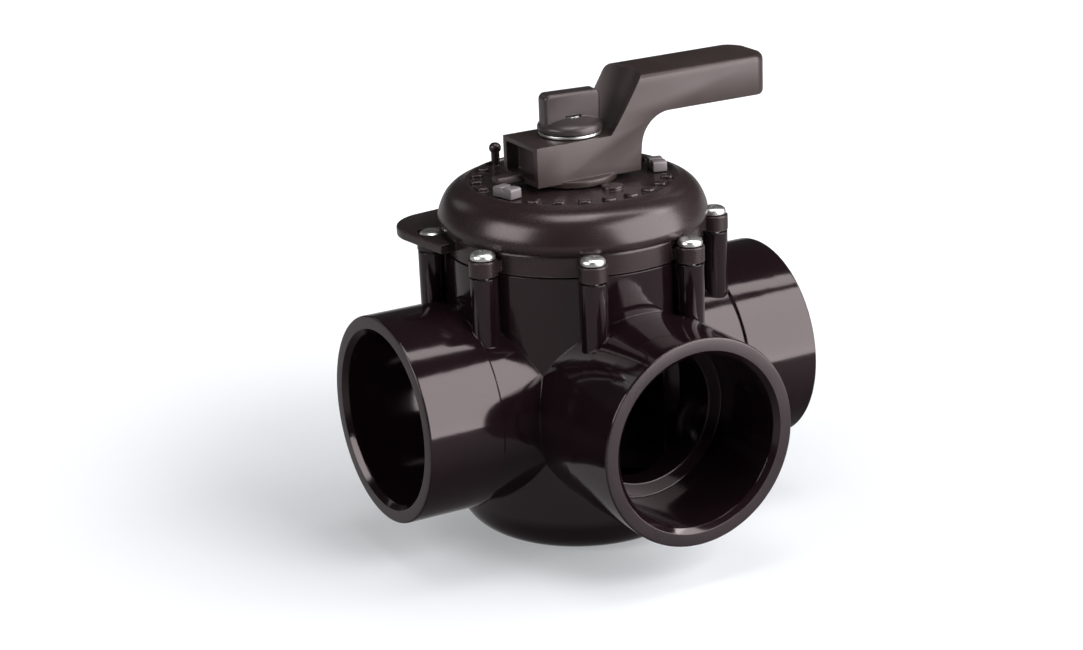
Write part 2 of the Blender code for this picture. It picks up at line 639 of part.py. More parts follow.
def make_knob(material, parent):
    low = HUB_TOP + KNOB_WASHER_H + 2 * GAP
    dome = [(KNOB_R - EDGE, low), (KNOB_R, low + EDGE), (KNOB_R, low + KNOB_SKIRT_H)]
    for step in range(1, 5):
        angle = math.radians(20.0 * step)
        height = low + KNOB_SKIRT_H + (KNOB_DOME_H - KNOB_SKIRT_H) * math.sin(angle)
        dome.append((KNOB_R * math.cos(angle), height))
    knob = add_object("lock_knob", spun(dome, ROUND_SEGMENTS), material)
    half, thick = WING_HALF
    corner = WING_CORNER
    outline = [(-half, low + 1.0 * MM), (half, low + 1.0 * MM)]
    outline += arc((half - corner, WING_TOP - corner), corner, 0.0, 90.0, 4)
    outline += arc((corner - half, WING_TOP - corner), corner, 90.0, 180.0, 4)
    wing = prism(outline, -thick, thick)
    upright = Matrix(((1, 0, 0, 0), (0, 0, -1, 0), (0, 1, 0, 0), (0, 0, 0, 1)))
    bmesh.ops.transform(wing, matrix=turn(WING_ANGLE) @ upright, verts=wing.verts)
    join_to(knob, wing)
    socket = STUD_R + GAP
    cut_from(knob, plug_cutter(socket, low - MM, KNOB_SOCKET_Z, SMALL_SEGMENTS))
    attach(knob, parent)


def make_stud(material, parent):
    low, high = STUD_Z
    profile = [(STUD_R - 0.8 * MM, low), (STUD_R, low + 0.8 * MM), (STUD_R, high)]
    stud = add_object("knob_stud", spun(profile, SMALL_SEGMENTS), material)
    attach(stud, parent)


def build():
    clear_scene()
    gloss = plastic("gloss_black_body", (0.012, 0.010, 0.010), 0.10)
    satin = plastic("satin_black_cover", (0.022, 0.018, 0.017), 0.42)
    handle_black = plastic("satin_black_handle", (0.026, 0.021, 0.020), 0.45)
    rubber = plastic("black_rubber", (0.010, 0.010, 0.010), 0.75)
    white = plastic("white_ptfe", (0.75, 0.74, 0.72), 0.5)
    steel = surface("stainless_steel", (0.62, 0.61, 0.60), 0.22, 1.0)

    make_body(gloss)
    make_cover(satin)
    make_screws(steel)
    ring = ring_shape(COVER_RING_R, COVER_RING_SECTION, COVER_RING_Z, COVER_SEGMENTS, 5)
    add_object("cover_oring", ring, rubber)
    make_stop_tabs(plastic("grey_stop_tab", (0.10, 0.09, 0.09), 0.4))

    stem_axis = axis_empty("stem_axis", PORT_Z)
    make_diverter(plastic("black_diverter", (0.016, 0.014, 0.014), 0.25), stem_axis)
    make_seal(rubber, stem_axis)
    make_stem_rings(rubber, stem_axis)
    make_thrust_washer(white, stem_axis)
    make_handle(handle_black, stem_axis)

    knob_axis = axis_empty("knob_axis", HUB_TOP)
    attach(knob_axis, stem_axis)
    make_knob_washer(steel, knob_axis)
    make_knob(handle_black, knob_axis)
    make_stud(steel, knob_axis)


build()
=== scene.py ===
"""Looks for the three way diverter valve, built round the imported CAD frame.

Every visible CAD solid that needs a finer surface is rebuilt here at the same size and place:
smooth lathe-turned and moulded shapes with rounded edges and procedural materials.
"""

import json
import math

import bmesh
import bpy
from mathutils import Matrix, Vector


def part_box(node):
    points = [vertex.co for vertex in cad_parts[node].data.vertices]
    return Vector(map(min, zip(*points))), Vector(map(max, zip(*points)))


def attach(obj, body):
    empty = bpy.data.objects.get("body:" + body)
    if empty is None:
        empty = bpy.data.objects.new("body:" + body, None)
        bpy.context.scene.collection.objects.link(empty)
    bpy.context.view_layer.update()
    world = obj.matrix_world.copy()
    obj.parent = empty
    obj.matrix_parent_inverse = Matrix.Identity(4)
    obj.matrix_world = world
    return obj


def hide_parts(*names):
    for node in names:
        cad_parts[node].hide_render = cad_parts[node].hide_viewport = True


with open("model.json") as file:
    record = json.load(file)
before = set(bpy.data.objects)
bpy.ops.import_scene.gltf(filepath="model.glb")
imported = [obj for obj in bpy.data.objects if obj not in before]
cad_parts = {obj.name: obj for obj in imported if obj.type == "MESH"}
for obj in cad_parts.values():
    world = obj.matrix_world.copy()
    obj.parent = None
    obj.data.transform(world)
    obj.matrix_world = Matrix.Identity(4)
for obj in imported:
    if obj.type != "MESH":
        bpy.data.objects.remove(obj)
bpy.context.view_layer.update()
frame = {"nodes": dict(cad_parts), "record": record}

MM = 0.001

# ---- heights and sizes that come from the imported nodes
BODY_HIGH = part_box("valve_body")[1]
COVER_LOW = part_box("cover")[0]
HANDLE_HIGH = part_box("handle")[1]
KNOB_LOW, KNOB_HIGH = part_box("lock_knob")
PORT_LEFT, PORT_FRONT, PORT_RIGHT = (m["pos_m"] for m in frame["record"]["mounts"] if m["name"] != "base")
PORT_Z = 52.0 * MM
PORTS = {"left": (180.0, -PORT_LEFT[0]), "front": (-90.0, -PORT_FRONT[1]), "right": (0.0, PORT_RIGHT[0])}

# ---- barrel and ports
BARREL_R = 45.5 * MM
BARREL_TOP = BODY_HIGH.z
FOOT_R = 30.0 * MM
FOOT_ROUND = 14.5 * MM
HUB_R = 36.5 * MM
HUB_LENGTH = 28.0 * MM
HUB_STEP = (0.7 * MM, 0.1 * MM)      # start and end of the step from neck to hub, behind the hub
NECK_R = 35.6 * MM
SOCKET_R = 30.2 * MM
SOCKET_DEPTH = 34.0 * MM
PASSAGE_R = 25.0 * MM
MOUTH_R = 32.0 * MM
MOUTH_CHAMFER = 1.8 * MM
CHAMBER_R = 38.0 * MM
CHAMBER_FLOOR = 12.0 * MM
CHAMBER_CHAMFER = 5.0 * MM
PIVOT_HOLE_R = 5.4 * MM
PIVOT_HOLE_Z = 7.0 * MM
RIM_BORE_R = 40.0 * MM
RIM_BORE_Z = 96.5 * MM
CREASE = 1.3 * MM                   # round moulded between the ports and the barrel

# ---- screws and their columns
SCREW_ANGLES = [22.5 + 45.0 * index for index in range(8)]
SCREW_CIRCLE_R = 50.0 * MM
COLUMN_R = 4.8 * MM
COLUMN_FOOT_Z = 70.0 * MM
COLUMN_TIP_R = 1.6 * MM
COLUMN_TAPER = 9.0 * MM
COLUMN_ROUND = 3.0 * MM
WEB_HALF = 2.2 * MM
WEB_REACH = (-8.0 * MM, -1.0 * MM)   # from the screw's axis towards the barrel
WEB_RISE = 6.0 * MM
PILOT_R = 2.6 * MM
PILOT_Z = 82.0 * MM
SHANK_R = 2.2 * MM
SHANK_LENGTH = 24.0 * MM
SHANK_POINT = 2.4 * MM
SCREW_HEAD_R = 4.3 * MM
SCREW_HEAD_H = 2.6 * MM
SCREW_DOME = [(4.0 * MM, 1.75 * MM), (3.2 * MM, 2.3 * MM), (1.9 * MM, SCREW_HEAD_H - 0.05 * MM),
              (0.6 * MM, SCREW_HEAD_H)]
RECESS_ARM = 1.9 * MM
RECESS_HALF = 0.42 * MM
RECESS_FLOOR = 1.0 * MM
EAR_TOP = 108.8 * MM
TAB_SCREW_ANGLE = 157.5
TAB_SCREW_SEAT = 107.0 * MM
SEAT_GAP = 0.3 * MM

# ---- cover
FLANGE_Z = COVER_LOW.z + 6.0 * MM   # the spigot below the flange is 6 mm long
FLANGE_R = 45.0 * MM
FLANGE_TOP = 109.8 * MM
EAR_R = 5.0 * MM
EAR_Z = FLANGE_Z + 0.4 * MM
GUSSET_HALF = 3.6 * MM
PLATEAU_Z = 125.2 * MM
PLATEAU_R = 35.6 * MM
RIDGE_H = 0.8 * MM
SHOULDER = [(39.0, 124.9), (40.6, 124.3), (42.4, 123.2), (44.0, 121.7), (45.3, 119.8),
            (46.3, 117.6), (47.0, 115.6), (47.3, 114.0), (47.2, 112.6)]   # r and z in millimetres
LIP = [(46.6 * MM, 111.0 * MM), (44.6 * MM, 110.7 * MM)]
COVER_WALL = 4.6 * MM
ORING_GROOVE_R = 37.2 * MM
ORING_GROOVE_Z = (98.5 * MM, 101.1 * MM)
STEM_BORE_R = 9.0 * MM
SPIGOT_R = 39.6 * MM
SPIGOT_BORE_R = 34.5 * MM
NECK_BOSS_R = 14.0 * MM
NECK_BOSS_Z = 99.2 * MM
NUB_COUNT = 24
NUB_CIRCLE_R = 33.2 * MM
NUB_HALF = 2.1 * MM
NUB_ROUND = 1.0 * MM
NUB_EDGE = 0.7 * MM
NUB_H = 1.5 * MM
STOP_ANGLES = (-165.0, -15.0)
STOP_CIRCLE_R = 31.0 * MM
STOP_HALF = (2.5 * MM, 4.5 * MM)     # along and across the radius
STOP_H = 3.6 * MM
STOP_BRIDGE_H = 2.4 * MM
STOP_POST = 3.9 * MM
STOP_PEG_R = 1.5 * MM
STOP_PEG_LENGTH = 3.0 * MM
POST_ANGLE = 112.5
POST_CIRCLE_R = 34.0 * MM
POST_H = 8.4 * MM
POST_NECK_R = 1.5 * MM
POST_HEAD_R = 2.2 * MM
BOSS_ANGLE = -75.6
BOSS_CIRCLE_R = 20.1 * MM
BOSS_R = 3.8 * MM
BOSS_H = 1.2 * MM
TAB_ANGLE = 145.6
TAB_CENTRE_R = 46.0 * MM
TAB_NOSE_R = 16.3 * MM
TAB_SIDES = (121.5, 178.0)
TAB_SIDE_R = 51.4 * MM
TAB_Z = 106.2 * MM
TAB_TOP = 109.4 * MM
TAB_ROOT = 5.0 * MM
TAB_NOSE_TURNS = [3.8 * step - 52.0 for step in range(25)]
COUNTERBORE_R = 4.9 * MM

# ---- plug and stem
STEM_R = 8.7 * MM
STEM_CORE_R = 7.5 * MM
STEM_TOP = 127.0 * MM
STEM_GROOVES = (106.0 * MM, 112.0 * MM)
STEM_GROOVE_R = 6.9 * MM
STEM_GROOVE_HALF = 1.3 * MM
PIVOT_R = 5.0 * MM
PIVOT_FOOT = 7.3 * MM
PIVOT_H = 3.0 * MM
SQUARE_HALF = 5.5 * MM
SQUARE_Z = (125.0 * MM, 138.6 * MM)
STUD_HOLE_R = 4.3 * MM
STUD_HOLE_Z = 116.0 * MM
PLUG_R = 37.3 * MM
PLUG_INNER_R = 31.0 * MM
PLUG_HALF_ANGLE = 44.0
PLUG_Z = (17.5 * MM, 87.0 * MM)
PLATE_H = 5.0 * MM
COLLAR_R = 13.0 * MM
COLLAR_TOP = 97.4 * MM
SEAL_R = (35.4 * MM, 37.7 * MM)
SEAL_HALF_ANGLE = 42.5
SEAL_Z = (22.5 * MM, 81.5 * MM)
RIB_HALF = 2.0 * MM

# ---- handle and lock knob
HANDLE_HALF = 12.0 * MM
HUB_Z = 127.4 * MM
HUB_TOP = 141.4 * MM
HUB_TAIL_X = -20.0 * MM
GRIP_TOP = HANDLE_HIGH.z
GRIP_UNDER = 146.8 * MM
GRIP_X = 69.0 * MM
GRIP_END_X = HANDLE_HIGH.x
GRIP_TOP_ROUND = 2.4 * MM
RISER_X = 4.0 * MM                   # where the grip's top starts
RISER_FOOT_X = 21.0 * MM
ELBOW = (22.8 * MM, 147.0 * MM)      # the corner under the grip, before it's rounded
ELBOW_ROUND = 11.5 * MM
GRIP_END_ROUNDS = (6.0 * MM, 3.4 * MM)
FINGER_X = -30.4 * MM
FINGER_HALF = 2.2 * MM
FINGER_H = 2.8 * MM
POCKET = (5.0 * MM, 9.8 * MM, 5.4 * MM)   # depth, half width and half height
DRIVE_HALF = 5.8 * MM
DRIVE_TOP = 138.9 * MM
STUD_BORE_R = 4.6 * MM
CONE_R = (15.2 * MM, 25.2 * MM)      # hollow round the knob, at the hub's top and at CONE_TOP
CONE_TOP = 161.0 * MM
SKIRT_R = (9.6 * MM, 16.0 * MM)
SKIRT_Z = (125.8 * MM, 128.2 * MM)
KNOB_R = 11.4 * MM
WING_HALF = (10.4 * MM, 3.2 * MM)
WING_ANGLE = -6.0
WING_ROUND = 2.2 * MM
WING_FOOT = 1.0 * MM
KNOB_BAND = 1.4 * MM                 # height of the upright edge below the dome
KNOB_DOME_H = 3.6 * MM
KNOB_BORE_TOP = 148.4 * MM

# ---- smoothness of the round surfaces
FINE = 128
PORT_FINE = 112
MEDIUM = 64
SMALL = 32


# ---------------------------------------------------------------- mesh helpers

# An outline's x and y become y and z, or x and z.
ACROSS_X = Matrix(((0, 0, 1, 0), (1, 0, 0, 0), (0, 1, 0, 0), (0, 0, 0, 1)))
ACROSS_Y = Matrix(((1, 0, 0, 0), (0, 0, -1, 0), (0, 1, 0, 0), (0, 0, 0, 1)))


def polar(radius, degrees, z=0.0):
    angle = math.radians(degrees)
    return Vector((radius * math.cos(angle), radius * math.sin(angle), z))


def turn(degrees):
    return Matrix.Rotation(math.radians(degrees), 4, "Z")


def arc(centre, radius, start, end, steps):
    """Points of an arc round centre, from start to end in degrees."""
    points = []
    for step in range(steps + 1):
        angle = math.radians(start + (end - start) * step / steps)
        points.append((centre[0] + radius * math.cos(angle), centre[1] + radius * math.sin(angle)))
    return points


def rounded(points, radii, steps=4):
    """A polyline whose inner corners are rounded. radii gives one radius for each point, 0 for none."""
    result = []
    last = len(points) - 1
    for index, (point, radius) in enumerate(zip(points, radii)):
        here = Vector(point)
        if radius <= 0.0 or index in (0, last):
            result.append(tuple(here))
            continue
        into = (Vector(points[index - 1]) - here).normalized()
        out = (Vector(points[index + 1]) - here).normalized()
        half = into.angle(out) / 2.0
        reach = radius / math.tan(half)
        centre = here + (into + out).normalized() * (radius / math.sin(half))
        start = here + into * reach - centre
        end = here + out * reach - centre
        for step in range(steps + 1):
            blend = start.slerp(end, step / steps) if start.angle(end) > 1e-4 else start
            result.append(tuple(centre + blend.normalized() * radius))
    return result


def spun(profile, segments, ring=False):
    """Turns (r, z) points round Z. A ring's profile closes on itself; any other gets flat end caps."""
    bm = bmesh.new()
    verts = [bm.verts.new((r, 0.0, z)) for r, z in profile]
    edges = [bm.edges.new((a, b)) for a, b in zip(verts, verts[1:])]
    if ring:
        edges.append(bm.edges.new((verts[-1], verts[0])))
    bmesh.ops.spin(bm, geom=verts + edges, cent=(0, 0, 0), axis=(0, 0, 1), angle=math.tau,
                   steps=segments, use_merge=True)
    if not ring:
        bmesh.ops.holes_fill(bm, edges=[edge for edge in bm.edges if edge.is_boundary])
    bmesh.ops.recalc_face_normals(bm, faces=bm.faces)
    return bm


def rod(radius, bottom, top, segments):
    return spun([(radius, bottom), (radius, top)], segments)


def prism(outline, bottom, top):
    bm = bmesh.new()
    face = bm.faces.new([bm.verts.new((x, y, bottom)) for x, y in outline])
    raised = bmesh.ops.extrude_face_region(bm, geom=[face])["geom"]
    rim = [item for item in raised if isinstance(item, bmesh.types.BMVert)]
    bmesh.ops.translate(bm, verts=rim, vec=(0, 0, top - bottom))
    bmesh.ops.recalc_face_normals(bm, faces=bm.faces)
    return bm


def block(low, high):
    return prism([(low[0], low[1]), (high[0], low[1]), (high[0], high[1]), (low[0], high[1])],
                 low[2], high[2])


def moved(bm, matrix):
    bmesh.ops.transform(bm, matrix=matrix, verts=bm.verts)
    if matrix.determinant() < 0:
        bmesh.ops.reverse_faces(bm, faces=bm.faces)
    return bm


def eased(bm, width, segments=3, angle=35.0, keep=None):
    """Rounds the sharp edges of a simple shape. keep says which edges stay sharp."""
    limit = math.radians(angle)
    edges = [edge for edge in bm.edges if len(edge.link_faces) == 2
             and edge.calc_face_angle(0.0) > limit and not (keep and keep(edge))]
    bmesh.ops.bevel(bm, geom=edges, offset=width, segments=segments, profile=0.5,
                    affect="EDGES", clamp_overlap=True)
    return bm


def copies(bm, matrices):
    single = bpy.data.meshes.new("shape")
    bm.to_mesh(single)
    bm.free()
    group = bmesh.new()
    for matrix in matrices:
        before = len(group.verts)
        group.from_mesh(single)
        group.verts.ensure_lookup_table()
        bmesh.ops.transform(group, matrix=matrix, verts=group.verts[before:])
    bpy.data.meshes.remove(single)
    return group


def piece(name, bm):
    mesh = bpy.data.meshes.new(name)
    bm.to_mesh(mesh)
    bm.free()
    item = bpy.data.objects.new(name, mesh)
    bpy.context.scene.collection.objects.link(item)
    return item


def settle(item):
    """Applies a piece's modifiers to its mesh."""
    bpy.context.view_layer.update()
    shaped = bpy.data.meshes.new_from_object(item.evaluated_get(bpy.context.evaluated_depsgraph_get()))
    old = item.data
    item.modifiers.clear()
    item.data = shaped
    shaped.name = item.name
    bpy.data.meshes.remove(old)


def combine(item, bm, operation):
    tool = piece("tool", bm)
    modifier = item.modifiers.new("shape", "BOOLEAN")
    modifier.object = tool
    modifier.operation = operation
    modifier.solver = "EXACT"
    settle(item)
    mesh = tool.data
    bpy.data.objects.remove(tool)
    bpy.data.meshes.remove(mesh)


def join_to(item, bm):
    combine(item, bm, "UNION")


def cut_from(item, bm):
    combine(item, bm, "DIFFERENCE")


def along_port(degrees):
    along = Matrix.Rotation(math.radians(90.0), 4, "Y")
    return Matrix.Translation((0.0, 0.0, PORT_Z)) @ turn(degrees) @ along


def screw_places():
    return [turn(angle) @ Matrix.Translation((SCREW_CIRCLE_R, 0.0, 0.0)) for angle in SCREW_ANGLES]


# ---------------------------------------------------------------- true normals of round surfaces

def upright_round(radius, low=-1.0, high=1.0, centre=(0.0, 0.0)):
    """A zone on an upright cylinder. It gives a point's distance from the surface and its true normal."""
    def zone(point):
        x, y = point.x - centre[0], point.y - centre[1]
        if not low <= point.z <= high:
            return 1.0, None
        reach = math.hypot(x, y)
        return abs(reach - radius), Vector((x, y, 0.0)) / max(reach, 1e-9)
    return zone


def port_round(degrees, radius, start, end):
    """A zone on a cylinder along a port's axis, from start to end along it."""
    along = polar(1.0, degrees)

    def zone(point):
        offset = point - Vector((0.0, 0.0, PORT_Z))
        reach = offset.dot(along)
        if not start <= reach <= end:
            return 1.0, None
        across = offset - along * reach
        return abs(across.length - radius), across.normalized()
    return zone


def foot_round(point):
    """The zone of the rounded lower edge of the barrel."""
    reach = math.hypot(point.x, point.y)
    offset = Vector((reach - FOOT_R, point.z - FOOT_ROUND))
    if point.z > FOOT_ROUND or reach < FOOT_R:
        return 1.0, None
    normal = Vector((point.x / reach * offset.x, point.y / reach * offset.x, offset.y)).normalized()
    return abs(offset.length - FOOT_ROUND), normal


def smooth(item, zones=(), sharp=32.0, tolerance=0.04 * MM):
    """Smooth shading with sharp creases. Faces that lie in a zone take the true normal of its surface."""
    mesh = item.data
    mesh.shade_smooth()
    mesh.set_sharp_from_angle(angle=math.radians(sharp))
    if not zones:
        return
    mesh.update()
    normals = [Vector(corner.vector) for corner in mesh.corner_normals]
    for face in mesh.polygons:
        points = [mesh.vertices[index].co for index in face.vertices]
        for zone in zones:
            results = [zone(point) for point in points]
            if max(distance for distance, _ in results) > tolerance:
                continue
            side = 1.0 if results[0][1].dot(face.normal) > 0.0 else -1.0
            if abs(results[0][1].dot(face.normal)) < 0.94:
                continue
            for loop, (_, normal) in zip(face.loop_indices, results):
                normals[loop] = normal * side
            break
    mesh.normals_split_custom_set(normals)


# ---------------------------------------------------------------- materials

WARM_GLOSS = (1.0, 0.86, 0.88, 1.0)
EDGE_REACH = 0.9 * MM                # how far the lighter edges reach in: a painted edge highlight, with some rubbed wear
EDGE_FACING = (0.99, 0.86)           # cosine between rounded and flat normals: none, full
FINE_SHARE = 0.25                    # share of the fine noise in the roughness, beside the slow smears


def material_shell(name):
    material = bpy.data.materials.new(name)
    material.use_nodes = True
    tree = material.node_tree
    return material, tree, tree.nodes["Principled BSDF"]


def node(tree, kind, inputs=None, **settings):
    item = tree.nodes.new(kind)
    for key, value in settings.items():
        setattr(item, key, value)
    for key, value in (inputs or {}).items():
        if isinstance(value, bpy.types.NodeSocket):
            tree.links.new(value, item.inputs[key])
        else:
            item.inputs[key].default_value = value
    return item


def noise(tree, place, scale, detail=3.0, rough=0.55, distortion=0.0):
    return node(tree, "ShaderNodeTexNoise", {"Vector": place, "Scale": scale, "Detail": detail,
                                             "Roughness": rough, "Distortion": distortion}).outputs["Fac"]


def spread(tree, value, low, high, start=0.3, end=0.7):
    """Maps a value between start and end to the range from low to high."""
    return node(tree, "ShaderNodeMapRange", {"Value": value, "From Min": start, "From Max": end,
                                             "To Min": low, "To Max": high}).outputs["Result"]


def edge_mask(tree, radius):
    """1 on convex and concave edges, 0 on open surfaces."""
    bent = node(tree, "ShaderNodeBevel", {"Radius": radius}, samples=4).outputs["Normal"]
    flat = node(tree, "ShaderNodeNewGeometry").outputs["Normal"]
    facing = node(tree, "ShaderNodeVectorMath", {0: bent, 1: flat}, operation="DOT_PRODUCT")
    return spread(tree, facing.outputs["Value"], 0.0, 1.0, *EDGE_FACING)


def paint_edge_wear_and_sheen(tree, place, base, colour, amount):
    """Mixes a lighter, patchy colour into base along the edges: a painted edge highlight, with some rubbed
    wear.
    """
    patchy = spread(tree, noise(tree, place, 160.0, 5.0, 0.65), 0.0, 1.0, 0.38, 0.66)
    share = node(tree, "ShaderNodeMath", {0: edge_mask(tree, EDGE_REACH), 1: patchy}, operation="MULTIPLY")
    share = node(tree, "ShaderNodeMath", {0: share.outputs["Value"], 1: amount}, operation="MULTIPLY")
    return mix_colour(tree, share.outputs["Value"], base, (*colour, 1.0))


def moulded(name, colour, lighter, rough, grain, wave, edge_radius=0.5 * MM, wear_and_sheen=None):
    """Moulded plastic.

    colour and lighter are the ends of its mottling. rough is the range of its roughness. grain and wave
    are (size per metre, depth) of the fine texture and of the slow unevenness of the surface.
    wear_and_sheen is (colour, share) of its lighter edges, a painted edge highlight with some rubbed wear.
    """
    material, tree, shader = material_shell(name)
    place = node(tree, "ShaderNodeTexCoord").outputs["Object"]
    mottle = node(tree, "ShaderNodeMix", data_type="RGBA")
    tree.links.new(spread(tree, noise(tree, place, 38.0, 5.0), 0.0, 1.0), mottle.inputs["Factor"])
    base = set_mix(tree, mottle, colour, lighter)
    # lighter edges: a painted edge highlight, with some rubbed wear
    if wear_and_sheen:
        base = paint_edge_wear_and_sheen(tree, place, base, *wear_and_sheen)
    tree.links.new(base, shader.inputs["Base Color"])

    smear = noise(tree, place, 26.0, 6.0, 0.6, 0.6)
    fine = node(tree, "ShaderNodeMath", {0: noise(tree, place, 900.0, 2.0), 1: FINE_SHARE},
                operation="MULTIPLY")
    both = node(tree, "ShaderNodeMath", {0: smear, 1: 1.0 - FINE_SHARE, 2: fine.outputs["Value"]},
                operation="MULTIPLY_ADD")
    tree.links.new(spread(tree, both.outputs["Value"], *rough, 0.32, 0.68), shader.inputs["Roughness"])

    bent = node(tree, "ShaderNodeBevel", {"Radius": edge_radius}, samples=4).outputs["Normal"]
    swell = node(tree, "ShaderNodeBump", {"Height": noise(tree, place, wave[0], 2.0), "Distance": wave[1],
                                          "Strength": 1.0, "Normal": bent}).outputs["Normal"]
    skin = node(tree, "ShaderNodeBump", {"Height": noise(tree, place, grain[0], 3.0), "Distance": grain[1],
                                         "Strength": 1.0, "Normal": swell}).outputs["Normal"]
    tree.links.new(skin, shader.inputs["Normal"])
    shader.inputs["IOR"].default_value = 1.5
    shader.inputs["Specular Tint"].default_value = WARM_GLOSS
    return material


def set_mix(tree, mix, first, second):
    """Sets both colours of a colour mix and returns its result."""
    colours = [socket for socket in mix.inputs if socket.type == "RGBA"]
    colours[0].default_value = (*first, 1.0)
    colours[1].default_value = (*second, 1.0)
    return [socket for socket in mix.outputs if socket.type == "RGBA"][0]


def mix_colour(tree, share, first, second):
    mix = node(tree, "ShaderNodeMix", data_type="RGBA")
    tree.links.new(share, mix.inputs["Factor"])
    colours = [socket for socket in mix.inputs if socket.type == "RGBA"]
    tree.links.new(first, colours[0])
    colours[1].default_value = second
    return [socket for socket in mix.outputs if socket.type == "RGBA"][0]


def steel(name, colour, rough):
    """Bright stainless steel with faint turning marks and smears."""
    material, tree, shader = material_shell(name)
    place = node(tree, "ShaderNodeTexCoord").outputs["Object"]
    smear = noise(tree, place, 300.0, 4.0)
    tree.links.new(spread(tree, smear, rough[0], rough[1]), shader.inputs["Roughness"])
    tone = node(tree, "ShaderNodeMix", data_type="RGBA")
    tree.links.new(spread(tree, noise(tree, place, 700.0, 3.0), 0.0, 1.0), tone.inputs["Factor"])
    darker = tuple(0.86 * c for c in colour)
    tree.links.new(set_mix(tree, tone, colour, darker), shader.inputs["Base Color"])
    shader.inputs["Metallic"].default_value = 1.0
    streak = node(tree, "ShaderNodeMapping", {"Vector": place, "Scale": (1.0, 1.0, 12.0)}).outputs["Vector"]
    marks = node(tree, "ShaderNodeBump", {"Height": noise(tree, streak, 1500.0, 2.0), "Distance": 0.00001,
                                          "Strength": 0.6})
    tree.links.new(marks.outputs["Normal"], shader.inputs["Normal"])
    return material


def simple_skin(name, colour, rough, grain, depth):
    """Rubber and soft plastic: a dull skin with a fine grain."""
    material, tree, shader = material_shell(name)
    place = node(tree, "ShaderNodeTexCoord").outputs["Object"]
    tone = node(tree, "ShaderNodeMix", data_type="RGBA")
    tree.links.new(spread(tree, noise(tree, place, 90.0, 4.0), 0.0, 1.0), tone.inputs["Factor"])
    tree.links.new(set_mix(tree, tone, colour, tuple(1.5 * c for c in colour)), shader.inputs["Base Color"])
    tree.links.new(spread(tree, noise(tree, place, 240.0, 3.0), rough[0], rough[1]),
                   shader.inputs["Roughness"])
    bump = node(tree, "ShaderNodeBump", {"Height": noise(tree, place, grain, 3.0), "Distance": depth,
                                         "Strength": 1.0})
    tree.links.new(bump.outputs["Normal"], shader.inputs["Normal"])
    return material


GLOSS = moulded("gloss_black_pvc", (0.0050, 0.0023, 0.0032), (0.0072, 0.0036, 0.0046), (0.06, 0.135),
                (2600.0, 0.0000012), (55.0, 0.00012), 0.5 * MM)
RIM = moulded("sawn_satin_rim", (0.013, 0.0095, 0.011), (0.019, 0.014, 0.016), (0.26, 0.36),
              (1400.0, 0.000005), (120.0, 0.00002), 0.3 * MM)
# The cover, handle and knob get lighter edges: a painted edge highlight, with some rubbed wear.
SATIN = moulded("satin_black_cover", (0.0110, 0.0064, 0.0070), (0.0160, 0.0100, 0.0105), (0.22, 0.30),
                (1500.0, 0.0000015), (60.0, 0.00003), 0.5 * MM, wear_and_sheen=((0.090, 0.075, 0.075), 0.8))
HANDLE_SKIN = moulded("satin_black_handle", (0.0130, 0.0088, 0.0080), (0.0250, 0.0178, 0.0162),
                      (0.29, 0.41), (1700.0, 0.000005), (70.0, 0.00005), 0.4 * MM,
                      wear_and_sheen=((0.075, 0.062, 0.058), 0.6))
KNOB_SKIN = moulded("satin_black_knob", (0.0165, 0.0125, 0.0130), (0.0240, 0.0190, 0.0195), (0.28, 0.38),
                    (1700.0, 0.000005), (90.0, 0.00004), 0.4 * MM, wear_and_sheen=((0.080, 0.070, 0.068), 0.6))
PLUG_SKIN = moulded("black_diverter", (0.0060, 0.0034, 0.0040), (0.0090, 0.0055, 0.0062), (0.14, 0.26),
                    (2200.0, 0.000003), (80.0, 0.00006), 0.4 * MM)
STOP_SKIN = moulded("grey_stop_tab", (0.10, 0.088, 0.092), (0.15, 0.135, 0.14), (0.28, 0.40),
                    (1500.0, 0.000010), (120.0, 0.00002), 0.3 * MM)
RUBBER = simple_skin("black_rubber", (0.007, 0.006, 0.006), (0.50, 0.70), 1300.0, 0.00002)
WHITE = simple_skin("white_low_friction", (0.50, 0.49, 0.48), (0.40, 0.55), 900.0, 0.00001)
STEEL = steel("bright_stainless", (0.82, 0.81, 0.795), (0.28, 0.42))


# ---------------------------------------------------------------- valve body

def port_outside(reach):
    hub_start = reach - HUB_LENGTH
    outline = [(NECK_R, 0.0), (NECK_R, hub_start - HUB_STEP[0]), (HUB_R, hub_start - HUB_STEP[1]),
               (HUB_R, reach), (MOUTH_R - MM, reach)]
    rounds = [0.0, 0.4 * MM, 0.35 * MM, 0.7 * MM, 0.0]
    return rounded(outline, rounds, 4)


def port_inside(reach):
    shoulder = reach - SOCKET_DEPTH
    beyond = 2.0 * MOUTH_R - SOCKET_R
    outline = [(PASSAGE_R, 0.0), (PASSAGE_R, shoulder), (SOCKET_R, shoulder),
               (SOCKET_R, reach - MOUTH_CHAMFER), (beyond, reach + MOUTH_CHAMFER)]
    rounds = [0.0, 0.4 * MM, 0.3 * MM, 0.6 * MM, 0.0]
    return rounded(outline, rounds, 4)


def round_crease(item, zones_a, zones_b, width):
    """Rounds the crease where two families of surfaces meet."""
    bm = bmesh.new()
    bm.from_mesh(item.data)

    def lies_on(face, zones):
        return any(max(zone(v.co)[0] for v in face.verts) < 0.06 * MM for zone in zones)

    crease = []
    for edge in bm.edges:
        if len(edge.link_faces) == 2 and edge.calc_face_angle(0.0) > math.radians(12.0):
            first, second = edge.link_faces
            if (lies_on(first, zones_a) and lies_on(second, zones_b)) or \
                    (lies_on(second, zones_a) and lies_on(first, zones_b)):
                crease.append(edge)
    verts = list({v for edge in crease for v in edge.verts})
    bmesh.ops.remove_doubles(bm, verts=verts, dist=0.45 * MM)
    alive = [edge for edge in crease if edge.is_valid]
    bmesh.ops.bevel(bm, geom=alive, offset=width, segments=5, profile=0.5, affect="EDGES",
                    clamp_overlap=False, loop_slide=True)
    bm.to_mesh(item.data)
    bm.free()


